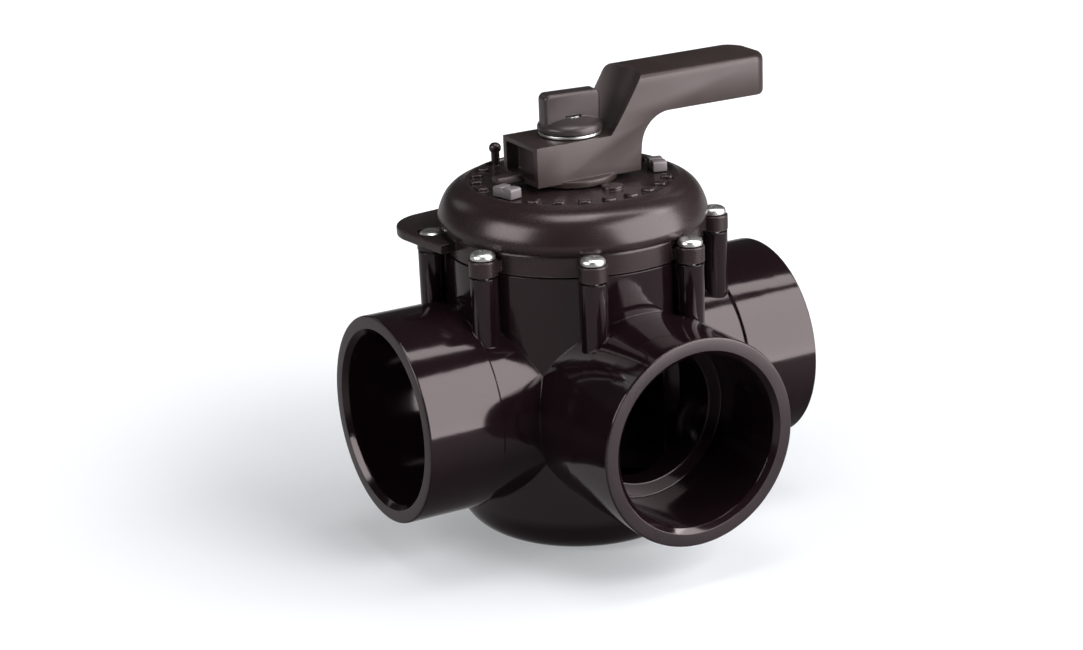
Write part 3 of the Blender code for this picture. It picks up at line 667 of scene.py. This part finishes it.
def screw_column(above):
    """One screw column: a tapered foot, then a plain post up to above."""
    outline = [(COLUMN_TIP_R, COLUMN_FOOT_Z)]
    outline += arc((COLUMN_R - COLUMN_ROUND - 0.2 * MM, COLUMN_FOOT_Z + COLUMN_TAPER), COLUMN_ROUND,
                   -60.0, 0.0, 5)
    return spun(outline + [(COLUMN_R, above)], SMALL)


def make_body():
    above = BARREL_TOP + MM
    outside = arc((FOOT_R, FOOT_ROUND), FOOT_ROUND, -90.0, 0.0, 14) + [(BARREL_R, above)]
    body = piece("body_shell", spun(outside, FINE))
    barrel = [upright_round(BARREL_R)]
    necks = []
    for degrees, reach in PORTS.values():
        join_to(body, moved(spun(port_outside(reach), PORT_FINE), along_port(degrees)))
        necks.append(port_round(degrees, NECK_R, 0.0, reach))
    round_crease(body, barrel, necks, CREASE)
    join_to(body, copies(screw_column(above), screw_places()))
    web = block((WEB_REACH[0], -WEB_HALF, COLUMN_FOOT_Z + WEB_RISE),
                (WEB_REACH[1], WEB_HALF, BARREL_TOP + 0.5 * MM))
    join_to(body, copies(web, screw_places()))
    outer = SCREW_CIRCLE_R + 2.0 * COLUMN_R
    chamber = [(PIVOT_HOLE_R, PIVOT_HOLE_Z), (PIVOT_HOLE_R, CHAMBER_FLOOR),
               (CHAMBER_R - CHAMBER_CHAMFER, CHAMBER_FLOOR), (CHAMBER_R, CHAMBER_FLOOR + CHAMBER_CHAMFER),
               (CHAMBER_R, RIM_BORE_Z - MM), (RIM_BORE_R, RIM_BORE_Z), (RIM_BORE_R, BARREL_TOP),
               (outer, BARREL_TOP), (outer, above + MM)]
    cut_from(body, spun(chamber, FINE))
    for degrees, reach in PORTS.values():
        cut_from(body, moved(spun(port_inside(reach), PORT_FINE), along_port(degrees)))
    cut_from(body, copies(rod(PILOT_R, PILOT_Z, above, 24), screw_places()))

    zones = [*barrel, foot_round, upright_round(CHAMBER_R)]
    for degrees, reach in PORTS.values():
        zones += [port_round(degrees, NECK_R, 0.0, reach), port_round(degrees, HUB_R, 0.0, reach),
                  port_round(degrees, SOCKET_R, 0.0, reach), port_round(degrees, PASSAGE_R, 0.0, reach)]
    for angle in SCREW_ANGLES:
        centre = polar(SCREW_CIRCLE_R, angle)
        zones.append(upright_round(COLUMN_R, COLUMN_FOOT_Z, 1.0, (centre.x, centre.y)))
    smooth(body, zones)
    body.data.materials.append(GLOSS)
    body.data.materials.append(RIM)
    for face in body.data.polygons:
        for degrees, reach in PORTS.values():
            along = polar(1.0, degrees)
            if face.normal.dot(along) > 0.8 and face.center.dot(along) > reach - MM:
                face.material_index = 1
    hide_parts("valve_body")
    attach(body, "housing")


# ---------------------------------------------------------------- cover

def cover_profile():
    inner_top = PLATEAU_Z - COVER_WALL
    ridge_z = PLATEAU_Z + RIDGE_H
    first = (SHOULDER[0][0] * MM, SHOULDER[0][1] * MM)
    last = (SHOULDER[-1][0] * MM, SHOULDER[-1][1] * MM)
    top = rounded([(STEM_BORE_R, PLATEAU_Z), (PLATEAU_R, PLATEAU_Z), (PLATEAU_R + 0.45 * MM, ridge_z),
                   (PLATEAU_R + 1.5 * MM, ridge_z), first], [0.0, 0.4 * MM, 0.3 * MM, 0.5 * MM, 0.0], 3)
    shoulder = []
    for index in range(len(SHOULDER) - 1):
        before = SHOULDER[max(index - 1, 0)]
        start, end = SHOULDER[index], SHOULDER[index + 1]
        after = SHOULDER[min(index + 2, len(SHOULDER) - 1)]
        for step in range(1, 5):
            shoulder.append(tuple(MM * c for c in catmull(before, start, end, after, step / 4)))
    under = rounded([last, *LIP, (FLANGE_R, FLANGE_TOP), (FLANGE_R, FLANGE_Z)],
                    [0.0, 0.7 * MM, 0.2 * MM, 0.15 * MM, 0.0], 3)[1:]
    groove_low, groove_high = ORING_GROOVE_Z
    inside = [(SPIGOT_R, FLANGE_Z), (SPIGOT_R, groove_high), (ORING_GROOVE_R, groove_high),
              (ORING_GROOVE_R, groove_low), (SPIGOT_R, groove_low), (SPIGOT_R, COVER_LOW.z),
              (SPIGOT_BORE_R, COVER_LOW.z), (SPIGOT_BORE_R, inner_top - 6.0 * MM),
              (SPIGOT_BORE_R - 5.0 * MM, inner_top), (NECK_BOSS_R, inner_top), (NECK_BOSS_R, NECK_BOSS_Z),
              (STEM_BORE_R, NECK_BOSS_Z)]
    return top + shoulder + under + inside


def catmull(a, b, c, d, t):
    """A point on a smooth curve through b and c."""
    result = []
    for k in range(2):
        result.append(0.5 * (2 * b[k] + (c[k] - a[k]) * t + (2 * a[k] - 5 * b[k] + 4 * c[k] - d[k]) * t * t
                             + (3 * b[k] - a[k] - 3 * c[k] + d[k]) * t ** 3))
    return result


def nub_angles():
    step = 360.0 / NUB_COUNT
    angles = [step * (index + 0.5) for index in range(NUB_COUNT)]
    taken = [*STOP_ANGLES, POST_ANGLE]
    return [a for a in angles if all(abs((a - t + 180.0) % 360.0 - 180.0) > step / 2 + 0.1 for t in taken)]


def nub_shape():
    """A low square nub with round corners and an eased top."""
    inset = NUB_HALF - NUB_ROUND
    outline = []
    for quarter, (cx, cy) in enumerate(((1, 1), (-1, 1), (-1, -1), (1, -1))):
        outline += arc((cx * inset, cy * inset), NUB_ROUND, 90.0 * quarter, 90.0 * quarter + 90.0, 4)
    bm = prism(outline, PLATEAU_Z - 0.5 * MM, PLATEAU_Z + NUB_H)
    top = PLATEAU_Z + NUB_H
    rim = [e for e in bm.edges if all(abs(v.co.z - top) < 1e-6 for v in e.verts)]
    bmesh.ops.bevel(bm, geom=rim, offset=NUB_EDGE, segments=4, profile=0.5, affect="EDGES",
                    clamp_overlap=True)
    return bm


def tab_outline():
    inner = FLANGE_R - TAB_ROOT
    nose = polar(TAB_CENTRE_R, TAB_ANGLE)
    points = [polar(inner, TAB_SIDES[0] + 3.0), polar(TAB_SIDE_R, TAB_SIDES[0])]
    points += [nose + polar(TAB_NOSE_R, TAB_ANGLE + degrees) for degrees in TAB_NOSE_TURNS]
    points += [polar(TAB_SIDE_R, TAB_SIDES[1]), polar(inner, TAB_SIDES[1] - 3.0)]
    return [point.xy for point in points]


def make_tab():
    bm = prism(tab_outline(), TAB_Z, TAB_TOP)

    def inside(edge):
        return any(v.co.xy.length < FLANGE_R - MM for v in edge.verts) or \
            abs(edge.verts[0].co.z - edge.verts[1].co.z) > MM
    eased(bm, 0.45 * MM, 3, 40.0, inside)
    item = piece("tab", bm)
    cut_from(item, rod(FLANGE_R - MM, TAB_Z - MM, TAB_TOP + MM, FINE))
    result = bmesh.new()
    result.from_mesh(item.data)
    bpy.data.objects.remove(item)
    return result


def indicator_post():
    """The thin post with a ball head that stands on the plateau."""
    top = PLATEAU_Z + POST_H
    outline = [(POST_NECK_R, PLATEAU_Z - MM), (POST_NECK_R, top - 2.0 * POST_HEAD_R)]
    outline += arc((0.3 * MM, top - POST_HEAD_R + 0.1 * MM), POST_HEAD_R - 0.3 * MM, -50.0, 80.0, 9)
    return spun(outline, SMALL)


def make_cover():
    cover = piece("cover_shell", spun(cover_profile(), FINE, ring=True))
    ear = rounded([(EAR_R, EAR_Z), (EAR_R, EAR_TOP), (EAR_R - 1.5 * MM, EAR_TOP)],
                  [0.0, 0.5 * MM, 0.0], 4)
    join_to(cover, copies(spun(ear, SMALL), screw_places()))
    gusset = block((WEB_REACH[0], -GUSSET_HALF, EAR_Z + 0.5 * MM),
                   (WEB_REACH[1], GUSSET_HALF, EAR_TOP - MM))
    join_to(cover, copies(gusset, screw_places()))
    join_to(cover, make_tab())
    ring = [turn(a) @ Matrix.Translation((NUB_CIRCLE_R, 0, 0)) for a in nub_angles()]
    join_to(cover, copies(nub_shape(), ring))
    join_to(cover, moved(indicator_post(), Matrix.Translation(polar(POST_CIRCLE_R, POST_ANGLE))))
    boss = rounded([(BOSS_R, PLATEAU_Z - MM), (BOSS_R, PLATEAU_Z + BOSS_H), (1.0 * MM, PLATEAU_Z + BOSS_H)],
                   [0.0, 0.5 * MM, 0.0], 3)
    join_to(cover, moved(spun(boss, SMALL), Matrix.Translation(polar(BOSS_CIRCLE_R, BOSS_ANGLE))))
    cut_from(cover, copies(rod(PILOT_R, FLANGE_Z - MM, EAR_TOP + 2.0 * MM, 24), screw_places()))
    counterbore = rod(COUNTERBORE_R, TAB_SCREW_SEAT, TAB_TOP + MM, SMALL)
    cut_from(cover, moved(counterbore, Matrix.Translation(polar(SCREW_CIRCLE_R, TAB_SCREW_ANGLE))))
    peg_hole = rod(STOP_PEG_R + SEAT_GAP, PLATEAU_Z - STOP_PEG_LENGTH - SEAT_GAP, PLATEAU_Z + MM, 24)
    cut_from(cover, copies(peg_hole, [turn(a) @ Matrix.Translation((STOP_CIRCLE_R, 0, 0))
                                      for a in STOP_ANGLES]))
    zones = [upright_round(FLANGE_R, FLANGE_Z - MM, FLANGE_TOP + MM)]
    for angle in SCREW_ANGLES:
        centre = polar(SCREW_CIRCLE_R, angle)
        zones.append(upright_round(EAR_R, 0.0, 1.0, (centre.x, centre.y)))
    smooth(cover, zones)
    cover.data.materials.append(SATIN)
    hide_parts("cover")
    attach(cover, "housing")


# ---------------------------------------------------------------- screws and stop tabs

def cross_recess():
    arm, half = RECESS_ARM, RECESS_HALF
    outline = [(arm, -half), (arm, half), (half, half), (half, arm), (-half, arm), (-half, half),
               (-arm, half), (-arm, -half), (-half, -half), (-half, -arm), (half, -arm), (half, -half)]
    return prism(outline, RECESS_FLOOR, SCREW_HEAD_H + MM)


def make_screws():
    head = [(SHANK_R * 0.5, -SHANK_LENGTH), (SHANK_R, -SHANK_LENGTH + SHANK_POINT), (SHANK_R, 0.0)]
    head += rounded([(SHANK_R, 0.0), (SCREW_HEAD_R, 0.0), (SCREW_HEAD_R, MM), *SCREW_DOME],
                    [0.0, 0.2 * MM, 0.6 * MM, 0.8 * MM, 0.8 * MM, 0.6 * MM, 0.0], 3)[1:]
    for index, angle in enumerate(SCREW_ANGLES):
        seat = TAB_SCREW_SEAT if angle == TAB_SCREW_ANGLE else EAR_TOP
        screw = piece(f"pan_head_screw_{index + 1}", spun(head, 40))
        cut_from(screw, cross_recess())
        screw.data.transform(Matrix.Translation(polar(SCREW_CIRCLE_R, angle, seat + SEAT_GAP))
                             @ turn(angle * 3.0 + 11.0 * index))
        smooth(screw)
        screw.data.materials.append(STEEL)
        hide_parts(f"cover_screw_{index + 1}")
        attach(screw, "housing")


def make_stop_tabs():
    depth, half = STOP_HALF
    slot = half - STOP_POST
    low = PLATEAU_Z + SEAT_GAP
    high = low + STOP_H
    bridge = low + STOP_BRIDGE_H
    outline = rounded([(0.0, low), (half, low), (half, high), (slot, high), (slot, bridge),
                       (-slot, bridge), (-slot, high), (-half, high), (-half, low), (0.0, low)],
                      [0.0, 0.2 * MM, 0.9 * MM, 0.3 * MM, 0.2 * MM,
                       0.2 * MM, 0.3 * MM, 0.9 * MM, 0.2 * MM, 0.0], 5)[:-1]
    for index, angle in enumerate(STOP_ANGLES):
        bm = eased(prism(outline, -depth, depth), 0.35 * MM, 3, 60.0)
        place = turn(angle) @ Matrix.Translation((STOP_CIRCLE_R, 0, 0))
        tab = piece(f"stop_lug_{index + 1}", moved(bm, place @ ACROSS_X))
        join_to(tab, moved(rod(STOP_PEG_R, PLATEAU_Z - STOP_PEG_LENGTH, low + MM, 24), place))
        smooth(tab)
        tab.data.materials.append(STOP_SKIN)
        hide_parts(f"stop_tab_{index + 1}")
        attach(tab, "housing")


# ---------------------------------------------------------------- plug, stem and seal

def sector(inner, outer, half_angle, bottom, top, steps=48):
    angles = [half_angle * (2.0 * step / steps - 1.0) for step in range(steps + 1)]
    outline = [polar(outer, angle).xy for angle in angles]
    if inner > 0.0:
        outline += [polar(inner, angle).xy for angle in reversed(angles)]
    else:
        outline.append((0.0, 0.0))
    return prism(outline, bottom, top)


def make_diverter():
    pivot_top = PLUG_Z[0] - PIVOT_H
    profile = [(PIVOT_R, PIVOT_FOOT), (PIVOT_R, pivot_top), (STEM_CORE_R, pivot_top),
               (STEM_CORE_R, PLUG_Z[1]), (COLLAR_R, PLUG_Z[1]), (COLLAR_R, COLLAR_TOP),
               (STEM_R, COLLAR_TOP)]
    for z in STEM_GROOVES:
        low, high = z - STEM_GROOVE_HALF, z + STEM_GROOVE_HALF
        profile += [(STEM_R, low), (STEM_GROOVE_R, low), (STEM_GROOVE_R, high), (STEM_R, high)]
    profile.append((STEM_R, STEM_TOP))
    plug = piece("plug_and_stem", spun(profile, MEDIUM))
    join_to(plug, eased(sector(PLUG_INNER_R, PLUG_R, PLUG_HALF_ANGLE, *PLUG_Z), 0.5 * MM, 3, 50.0))
    for bottom in (PLUG_Z[0], PLUG_Z[1] - PLATE_H):
        join_to(plug, sector(0.0, PLUG_INNER_R + 2.0 * MM, PLUG_HALF_ANGLE - 2.0, bottom + 0.05 * MM,
                             bottom + PLATE_H - 0.05 * MM))
    join_to(plug, block((0.0, -RIB_HALF, PLUG_Z[0] + MM), (PLUG_INNER_R + MM, RIB_HALF, PLUG_Z[1] - MM)))
    join_to(plug, block((-SQUARE_HALF, -SQUARE_HALF, SQUARE_Z[0]), (SQUARE_HALF, SQUARE_HALF, SQUARE_Z[1])))
    cut_from(plug, rod(STUD_HOLE_R, STUD_HOLE_Z, SQUARE_Z[1] + MM, SMALL))
    cut_from(plug, sector(SEAL_R[0] - SEAT_GAP, PLUG_R + 2.0 * MM, SEAL_HALF_ANGLE + 0.5,
                          SEAL_Z[0] - SEAT_GAP, SEAL_Z[1] + SEAT_GAP))
    smooth(plug, [upright_round(PLUG_INNER_R), upright_round(PLUG_R), upright_round(STEM_CORE_R),
                  upright_round(SEAL_R[0] - SEAT_GAP)])
    plug.data.materials.append(PLUG_SKIN)
    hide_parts("diverter")
    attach(plug, "stem")

    seal = piece("plug_seal", eased(sector(*SEAL_R, SEAL_HALF_ANGLE, *SEAL_Z), 0.5 * MM, 3, 50.0))
    smooth(seal, [upright_round(SEAL_R[1]), upright_round(SEAL_R[0])])
    seal.data.materials.append(RUBBER)
    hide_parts("diverter_seal")
    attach(seal, "stem")


# ---------------------------------------------------------------- handle

def handle_side():
    """The side view in x and z, counter-clockwise from the tail's foot."""
    points = [(HUB_TAIL_X, HUB_Z), (RISER_FOOT_X, HUB_Z), ELBOW, (GRIP_END_X, GRIP_UNDER),
              (GRIP_END_X, GRIP_TOP), (RISER_X, GRIP_TOP), (RISER_X, HUB_TOP), (HUB_TAIL_X, HUB_TOP)]
    rounds = [0.0, 0.0, ELBOW_ROUND, *GRIP_END_ROUNDS, 0.0, 0.0, 0.0]
    return rounded(points, rounds, 12)


def grip_plan():
    depth = GRIP_END_X - GRIP_X
    points = [(HUB_TAIL_X - MM, -HANDLE_HALF), (GRIP_X, -HANDLE_HALF)]
    for step in range(1, 24):
        angle = math.radians(-90.0 + 7.5 * step)
        points.append((GRIP_X + depth * math.cos(angle), HANDLE_HALF * math.sin(angle)))
    return points + [(GRIP_X, HANDLE_HALF), (HUB_TAIL_X - MM, HANDLE_HALF)]


def make_handle():
    side = prism(handle_side(), -HANDLE_HALF - MM, HANDLE_HALF + MM)
    handle = piece("cranked_handle", moved(side, ACROSS_Y))
    plan = prism(grip_plan(), HUB_Z - MM, GRIP_TOP - 0.01 * MM)
    rim = [e for e in plan.edges if all(v.co.z > HUB_TOP for v in e.verts)]
    bmesh.ops.bevel(plan, geom=rim, offset=GRIP_TOP_ROUND, segments=6, profile=0.5, affect="EDGES",
                    clamp_overlap=True)
    combine(handle, plan, "INTERSECT")
    slope = (CONE_R[1] - CONE_R[0]) / (CONE_TOP - HUB_TOP)
    high = GRIP_TOP + 4.0 * MM
    cut_from(handle, spun([(CONE_R[0], HUB_TOP), (CONE_R[0] + slope * (high - HUB_TOP), high)], FINE))
    bevel = handle.modifiers.new("edges", "BEVEL")
    bevel.width = 1.1 * MM
    bevel.segments = 4
    bevel.limit_method = "ANGLE"
    bevel.angle_limit = math.radians(48.0)
    bevel.use_clamp_overlap = True
    settle(handle)
    low = HUB_Z + SEAT_GAP
    finger = block((FINGER_X, -FINGER_HALF, low), (HUB_TAIL_X + 1.5 * MM, FINGER_HALF, low + FINGER_H))
    join_to(handle, eased(finger, 0.5 * MM, 3, 50.0))
    bore_r, skirt_r = SKIRT_R
    skirt_low, skirt_top = SKIRT_Z
    skirt = rounded([(bore_r, skirt_low), (bore_r, skirt_top), (skirt_r, skirt_top), (skirt_r, skirt_low),
                     (bore_r + 0.5 * MM, skirt_low)], [0.0, 0.0, 0.6 * MM, 0.3 * MM, 0.0], 3)
    join_to(handle, spun(skirt, MEDIUM, ring=True))
    middle = (HUB_Z + HUB_TOP) / 2
    depth, half, rise = POCKET
    pocket = block((HUB_TAIL_X - MM, -half, middle - rise), (HUB_TAIL_X + depth, half, middle + rise))
    cut_from(handle, eased(pocket, 0.8 * MM, 3, 50.0))
    cut_from(handle, block((-DRIVE_HALF, -DRIVE_HALF, HUB_Z - MM), (DRIVE_HALF, DRIVE_HALF, DRIVE_TOP)))
    cut_from(handle, rod(STUD_BORE_R, SQUARE_Z[1], HUB_TOP + MM, SMALL))
    smooth(handle)
    handle.data.materials.append(HANDLE_SKIN)
    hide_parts("handle")
    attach(handle, "stem")


# ---------------------------------------------------------------- lock knob

def make_knob():
    low = KNOB_LOW.z
    top = KNOB_HIGH.z
    dome = [(KNOB_R - 1.2 * MM, low), (KNOB_R - 0.4 * MM, low), (KNOB_R, low + 0.4 * MM),
            (KNOB_R, low + KNOB_BAND)]
    for step in range(1, 17):
        angle = math.radians(5.0 * step)
        dome.append((KNOB_R * math.cos(angle), low + KNOB_BAND + KNOB_DOME_H * math.sin(angle)))
    knob = piece("wing_knob", spun(dome, MEDIUM))
    half, thick = WING_HALF
    inset = half - WING_ROUND
    outline = [(-half, low + WING_FOOT), (half, low + WING_FOOT)]
    outline += arc((inset, top - WING_ROUND), WING_ROUND, 0.0, 90.0, 8)
    outline += arc((-inset, top - WING_ROUND), WING_ROUND, 90.0, 180.0, 8)
    wing = eased(prism(outline, -thick, thick), 0.9 * MM, 4, 60.0)
    join_to(knob, moved(wing, turn(WING_ANGLE) @ ACROSS_Y))
    cut_from(knob, rod(STUD_HOLE_R, low - MM, KNOB_BORE_TOP, SMALL))
    smooth(knob)
    knob.data.materials.append(KNOB_SKIN)
    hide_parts("lock_knob")
    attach(knob, "knob")

    low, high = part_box("knob_washer")
    ring = rounded([(STUD_BORE_R, high.z), (high.x, high.z), (high.x, low.z), (STUD_BORE_R, low.z)],
                   [0.0, 0.25 * MM, 0.25 * MM, 0.0], 4)
    washer = piece("plain_washer", spun(ring, MEDIUM, ring=True))
    smooth(washer)
    washer.data.materials.append(STEEL)
    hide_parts("knob_washer")
    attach(washer, "knob_carrier")


def paint_cad_nodes():
    for name, material in (("cover_oring", RUBBER), ("stem_oring_lower", RUBBER),
                           ("stem_oring_upper", RUBBER), ("thrust_washer", WHITE), ("knob_stud", STEEL)):
        mesh = frame["nodes"][name].data
        mesh.materials.clear()
        mesh.materials.append(material)


# ---------------------------------------------------------------- stage, light and camera

CAMERA_PLACE = (-0.45051, -0.79384, 0.37934)
CAMERA_TURN = -28.7995
CAMERA_DOWN = 18.6312
CAMERA_ROLL = -2.1321
CAMERA_LENS = 90.25
LIGHT_TARGET = (0.0, 0.0, 0.07)
SOFTBOXES = {  # name: (azimuth and elevation, distance, size, radiance)
    "key_softbox": ((-50.0, 20.5), 1.3, (1.5, 1.53), 6.0),
    "strip_softbox": ((-15.0, 58.7), 1.3, (0.24, 1.3), 5.0),
    "left_softbox": ((-179.0, 28.0), 1.3, (0.8, 0.62), 6.0),
    "back_softbox": ((108.0, 28.0), 1.4, (0.44, 0.36), 0.7),
    "overhead_softbox": ((-118.0, 86.0), 1.3, (0.55, 0.55), 6.0),
    "side_light": ((-72.0, 38.0), 1.4, (0.6, 0.5), 12.0),
}
ROOM_ENDS = ((0.10, 0.095, 0.095, 1.0), (0.03, 0.03, 0.03, 1.0))   # straight down, straight up
ROOM_RAMP = ((0.12, 0.14), (0.34, 0.46), (0.46, 0.46), (0.50, 0.14), (0.56, 0.045))
FLOOR_SIZE = 4.0
FLOOR_TONES = ((0.380, 0.387, 0.400), (0.400, 0.407, 0.420))
FLOOR_GLOW = (0.33, 0.80)
FLOOR_REACH = (0.10, 0.42)


def make_floor():
    """A pale floor that glows a little more away from the object, so that it runs out to white."""
    bm = bmesh.new()
    bmesh.ops.create_grid(bm, x_segments=1, y_segments=1, size=FLOOR_SIZE)
    floor = piece("floor", bm)
    material, tree, shader = material_shell("pale_floor")
    place = node(tree, "ShaderNodeTexCoord").outputs["Object"]
    tone = node(tree, "ShaderNodeMix", data_type="RGBA")
    tree.links.new(noise(tree, place, 3.0), tone.inputs["Factor"])
    tree.links.new(set_mix(tree, tone, *FLOOR_TONES), shader.inputs["Base Color"])
    shader.inputs["Roughness"].default_value = 0.9
    shader.inputs["Specular IOR Level"].default_value = 0.0
    shader.inputs["Emission Color"].default_value = (0.96, 0.98, 1.0, 1.0)
    reach = node(tree, "ShaderNodeVectorMath", {0: place}, operation="LENGTH").outputs["Value"]
    tree.links.new(spread(tree, reach, *FLOOR_GLOW, *FLOOR_REACH),
                   shader.inputs["Emission Strength"])
    floor.data.materials.append(material)
    floor.visible_glossy = False


def aim(item, direction, distance):
    """Puts an object in a direction (azimuth, elevation) from the valve's middle, facing it."""
    azimuth, elevation = (math.radians(value) for value in direction)
    away = Vector((math.cos(azimuth) * math.cos(elevation), math.sin(azimuth) * math.cos(elevation),
                   math.sin(elevation)))
    item.location = Vector(LIGHT_TARGET) + away * distance
    item.rotation_euler = away.to_track_quat("Z", "Y").to_euler()


def softbox(name, direction, distance, size, radiance):
    light = bpy.data.lights.new(name, "AREA")
    light.shape = "RECTANGLE"
    light.size, light.size_y = size
    light.energy = radiance * math.pi * size[0] * size[1]
    item = bpy.data.objects.new(name, light)
    bpy.context.scene.collection.objects.link(item)
    aim(item, direction, distance)
    item.visible_camera = False
    return item


def make_world():
    """White behind the object for the camera, and a dim studio room in reflections."""
    world = bpy.data.worlds.new("studio")
    bpy.context.scene.world = world
    world.use_nodes = True
    tree = world.node_tree
    background = tree.nodes["Background"]
    direction = node(tree, "ShaderNodeTexCoord").outputs["Generated"]
    height = node(tree, "ShaderNodeSeparateXYZ", {"Vector": direction}).outputs["Z"]
    ramp = node(tree, "ShaderNodeValToRGB")
    ramp.color_ramp.elements[0].position = 0.0
    ramp.color_ramp.elements[0].color = ROOM_ENDS[0]
    ramp.color_ramp.elements[1].position = 1.0
    ramp.color_ramp.elements[1].color = ROOM_ENDS[1]
    for position, value in ROOM_RAMP:
        element = ramp.color_ramp.elements.new(position)
        element.color = (value, value * 0.97, value * 0.97, 1.0)
    tree.links.new(spread(tree, height, 0.0, 1.0, -1.0, 1.0), ramp.inputs["Fac"])
    seen = node(tree, "ShaderNodeLightPath").outputs["Is Camera Ray"]
    sky = mix_colour(tree, seen, ramp.outputs["Color"], (1.0, 1.0, 1.0, 1.0))
    tree.links.new(sky, background.inputs["Color"])


def make_camera():
    data = bpy.data.cameras.new("camera")
    data.sensor_width = 36.0
    data.lens = CAMERA_LENS
    data.clip_start = 0.01
    camera = bpy.data.objects.new("camera", data)
    bpy.context.scene.collection.objects.link(camera)
    place = Matrix.Translation(CAMERA_PLACE)
    look = turn(CAMERA_TURN) @ Matrix.Rotation(math.radians(90.0 - CAMERA_DOWN), 4, "X")
    camera.matrix_world = place @ look @ turn(CAMERA_ROLL)
    bpy.context.scene.camera = camera


def make_lights():
    """The side light only deepens the shadow, so it isn't seen in reflections."""
    for name, row in SOFTBOXES.items():
        light = softbox(name, *row)
        light.visible_glossy = name != "side_light"


make_body()
make_cover()
make_screws()
make_stop_tabs()
make_diverter()
make_handle()
make_knob()
paint_cad_nodes()
make_floor()
make_world()
make_lights()
make_camera()
bpy.context.scene.view_settings.view_transform = "Standard"
